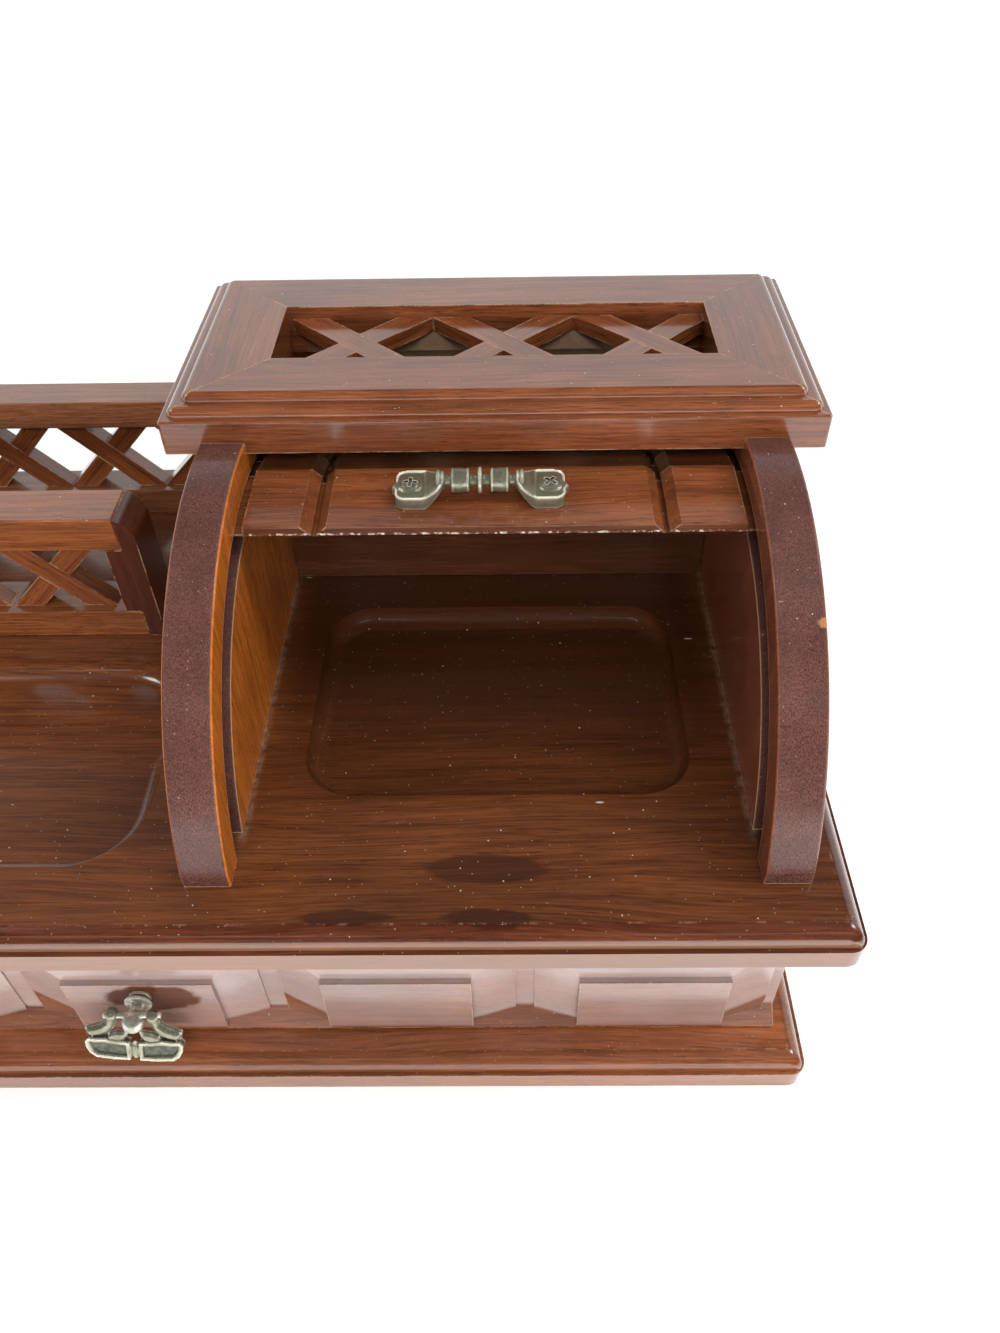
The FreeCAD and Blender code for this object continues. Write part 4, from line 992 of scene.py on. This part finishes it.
# %% [markdown]
# ### The pendant
# The pendant is a flat bow. Two sunk leaves have a ribbed reel between them. Above them, two
# scrolls sweep out to a point and climb to the eyes on the pin, and two small scrolls curl in.
# One half is drawn flat, as (x, distance below the pin), and mirrored. A matrix then hangs it on
# the pin, leaning out at the bottom and a little skew, as it has worn loose.

# %% Pendant
LEAF = [(1.4, 16.5), (7.0, 16.5), (11.4, 16.0), (13.2, 14.5), (14.2, 12.4), (14.4, 10.2),
        (13.4, 9.0), (11.4, 9.1), (8.3, 8.9), (3.4, 9.6), (1.4, 10.1)]
SCROLL = [(4.6, 0.6), (4.8, 2.4), (5.7, 5.0), (7.4, 7.2), (9.8, 8.3), (12.4, 8.8), (13.8, 8.0),
          (14.2, 5.6), (11.9, 4.6), (9.8, 3.8), (8.2, 2.5), (7.6, 0.6)]
CURL = [(5.4, 6.6), (3.9, 6.5), (2.5, 6.2), (1.6, 6.3), (1.9, 8.0), (2.8, 9.3), (4.6, 10.0),
        (8.0, 9.6), (7.6, 7.6)]
SKEW = math.radians(4.5)
hang = (Matrix.Translation(PIN) @ Matrix.Rotation(-LEAN, 4, "X")
        @ Matrix.Rotation(SKEW, 4, "Y"))
bm = bmesh.new()
for outline, near, far, rim, slope, sunk in (
        (LEAF, -0.9, 1.8, 1.25, 0.5, 0.9), (SCROLL, -0.1, 1.2, 0.15, 1.2, -0.9),
        (CURL, -0.1, 1.2, 0.1, 0.7, -0.6)):
    face = slab(bm, [(x, -below) for x, below in outline], near, far)
    bmesh.ops.inset_region(bm, faces=[face], thickness=rim * MM, depth=0)
    bmesh.ops.inset_region(bm, faces=[face], thickness=slope * MM, depth=0)
    bmesh.ops.translate(bm, verts=list(face.verts), vec=(0, sunk * MM, 0))
bmesh.ops.mirror(bm, geom=list(bm.verts) + list(bm.edges) + list(bm.faces), axis="X",
                 merge_dist=0.01 * MM)
reel = [(-1.6, 0), (-1.6, 2.6), (-1.2, 3.3), (-0.8, 2.5), (-0.5, 3.4), (0.0, 3.7), (0.5, 3.4),
        (0.8, 2.5), (1.2, 3.3), (1.6, 2.6), (1.6, 0)]
REEL_CENTRE = Vector((0, 0.25, -13.2)) * MM
before = len(bm.verts)
turned(bm, reel, (1, 0, 0), REEL_CENTRE, 32)
bm.verts.ensure_lookup_table()
bmesh.ops.scale(bm, verts=bm.verts[before:], vec=(1, 0.33, 0.88),
                space=Matrix.Translation(-REEL_CENTRE))
for sign in (-1, 1):
    eye = bmesh.ops.create_uvsphere(bm, u_segments=32, v_segments=18, radius=1.95 * MM)["verts"]
    bmesh.ops.translate(bm, verts=eye, vec=(sign * 6.0 * MM, 0, 0))
bmesh.ops.transform(bm, matrix=hang, verts=bm.verts)
casting_piece("pull_bow", bm, "pull", "pull_pendant", PENDANT, 0.16, 2)

# %% [markdown]
# ### Canvas behind the slats
# The slats are glued to a strip of cotton canvas, which shows only on their inner side.
# Two crossed waves of threads, one along each direction, make the weave.

# %% Canvas
THREAD_TURNS = 5200


def woven(name, light, dark):
    """Dull cloth of threads that cross along X and Z."""
    material = bpy.data.materials.new(name)
    material.use_nodes = True
    tree = material.node_tree
    shader = tree.nodes["Principled BSDF"]
    position = add(tree, "TexCoord").outputs["Object"]
    axes = add(tree, "SeparateXYZ", {0: position})
    weave = product(tree, *[
        spread(tree, calc(tree, "SINE", product(tree, axes.outputs[axis], THREAD_TURNS)), -1.0, 1.0)
        for axis in "XZ"])
    shade = calc(tree, "ADD", product(tree, weave, 0.6),
                 product(tree, noise(tree, position, 160, 4), 0.5), clamp=True)
    feed(tree, shader.inputs["Base Color"], mix(tree, shade, dark, light))
    shader.inputs["Roughness"].default_value = 0.9
    bump = add(tree, "Bump", {"Height": weave, "Strength": 0.6, "Distance": 0.0002})
    feed(tree, shader.inputs["Normal"], bump.outputs[0])
    return material


finish(woven("stained canvas", (0.33, 0.24, 0.15), (0.12, 0.075, 0.04)), "tambour_canvas")
print("a thread every", round(math.tau / THREAD_TURNS * 1000, 2), "mm")
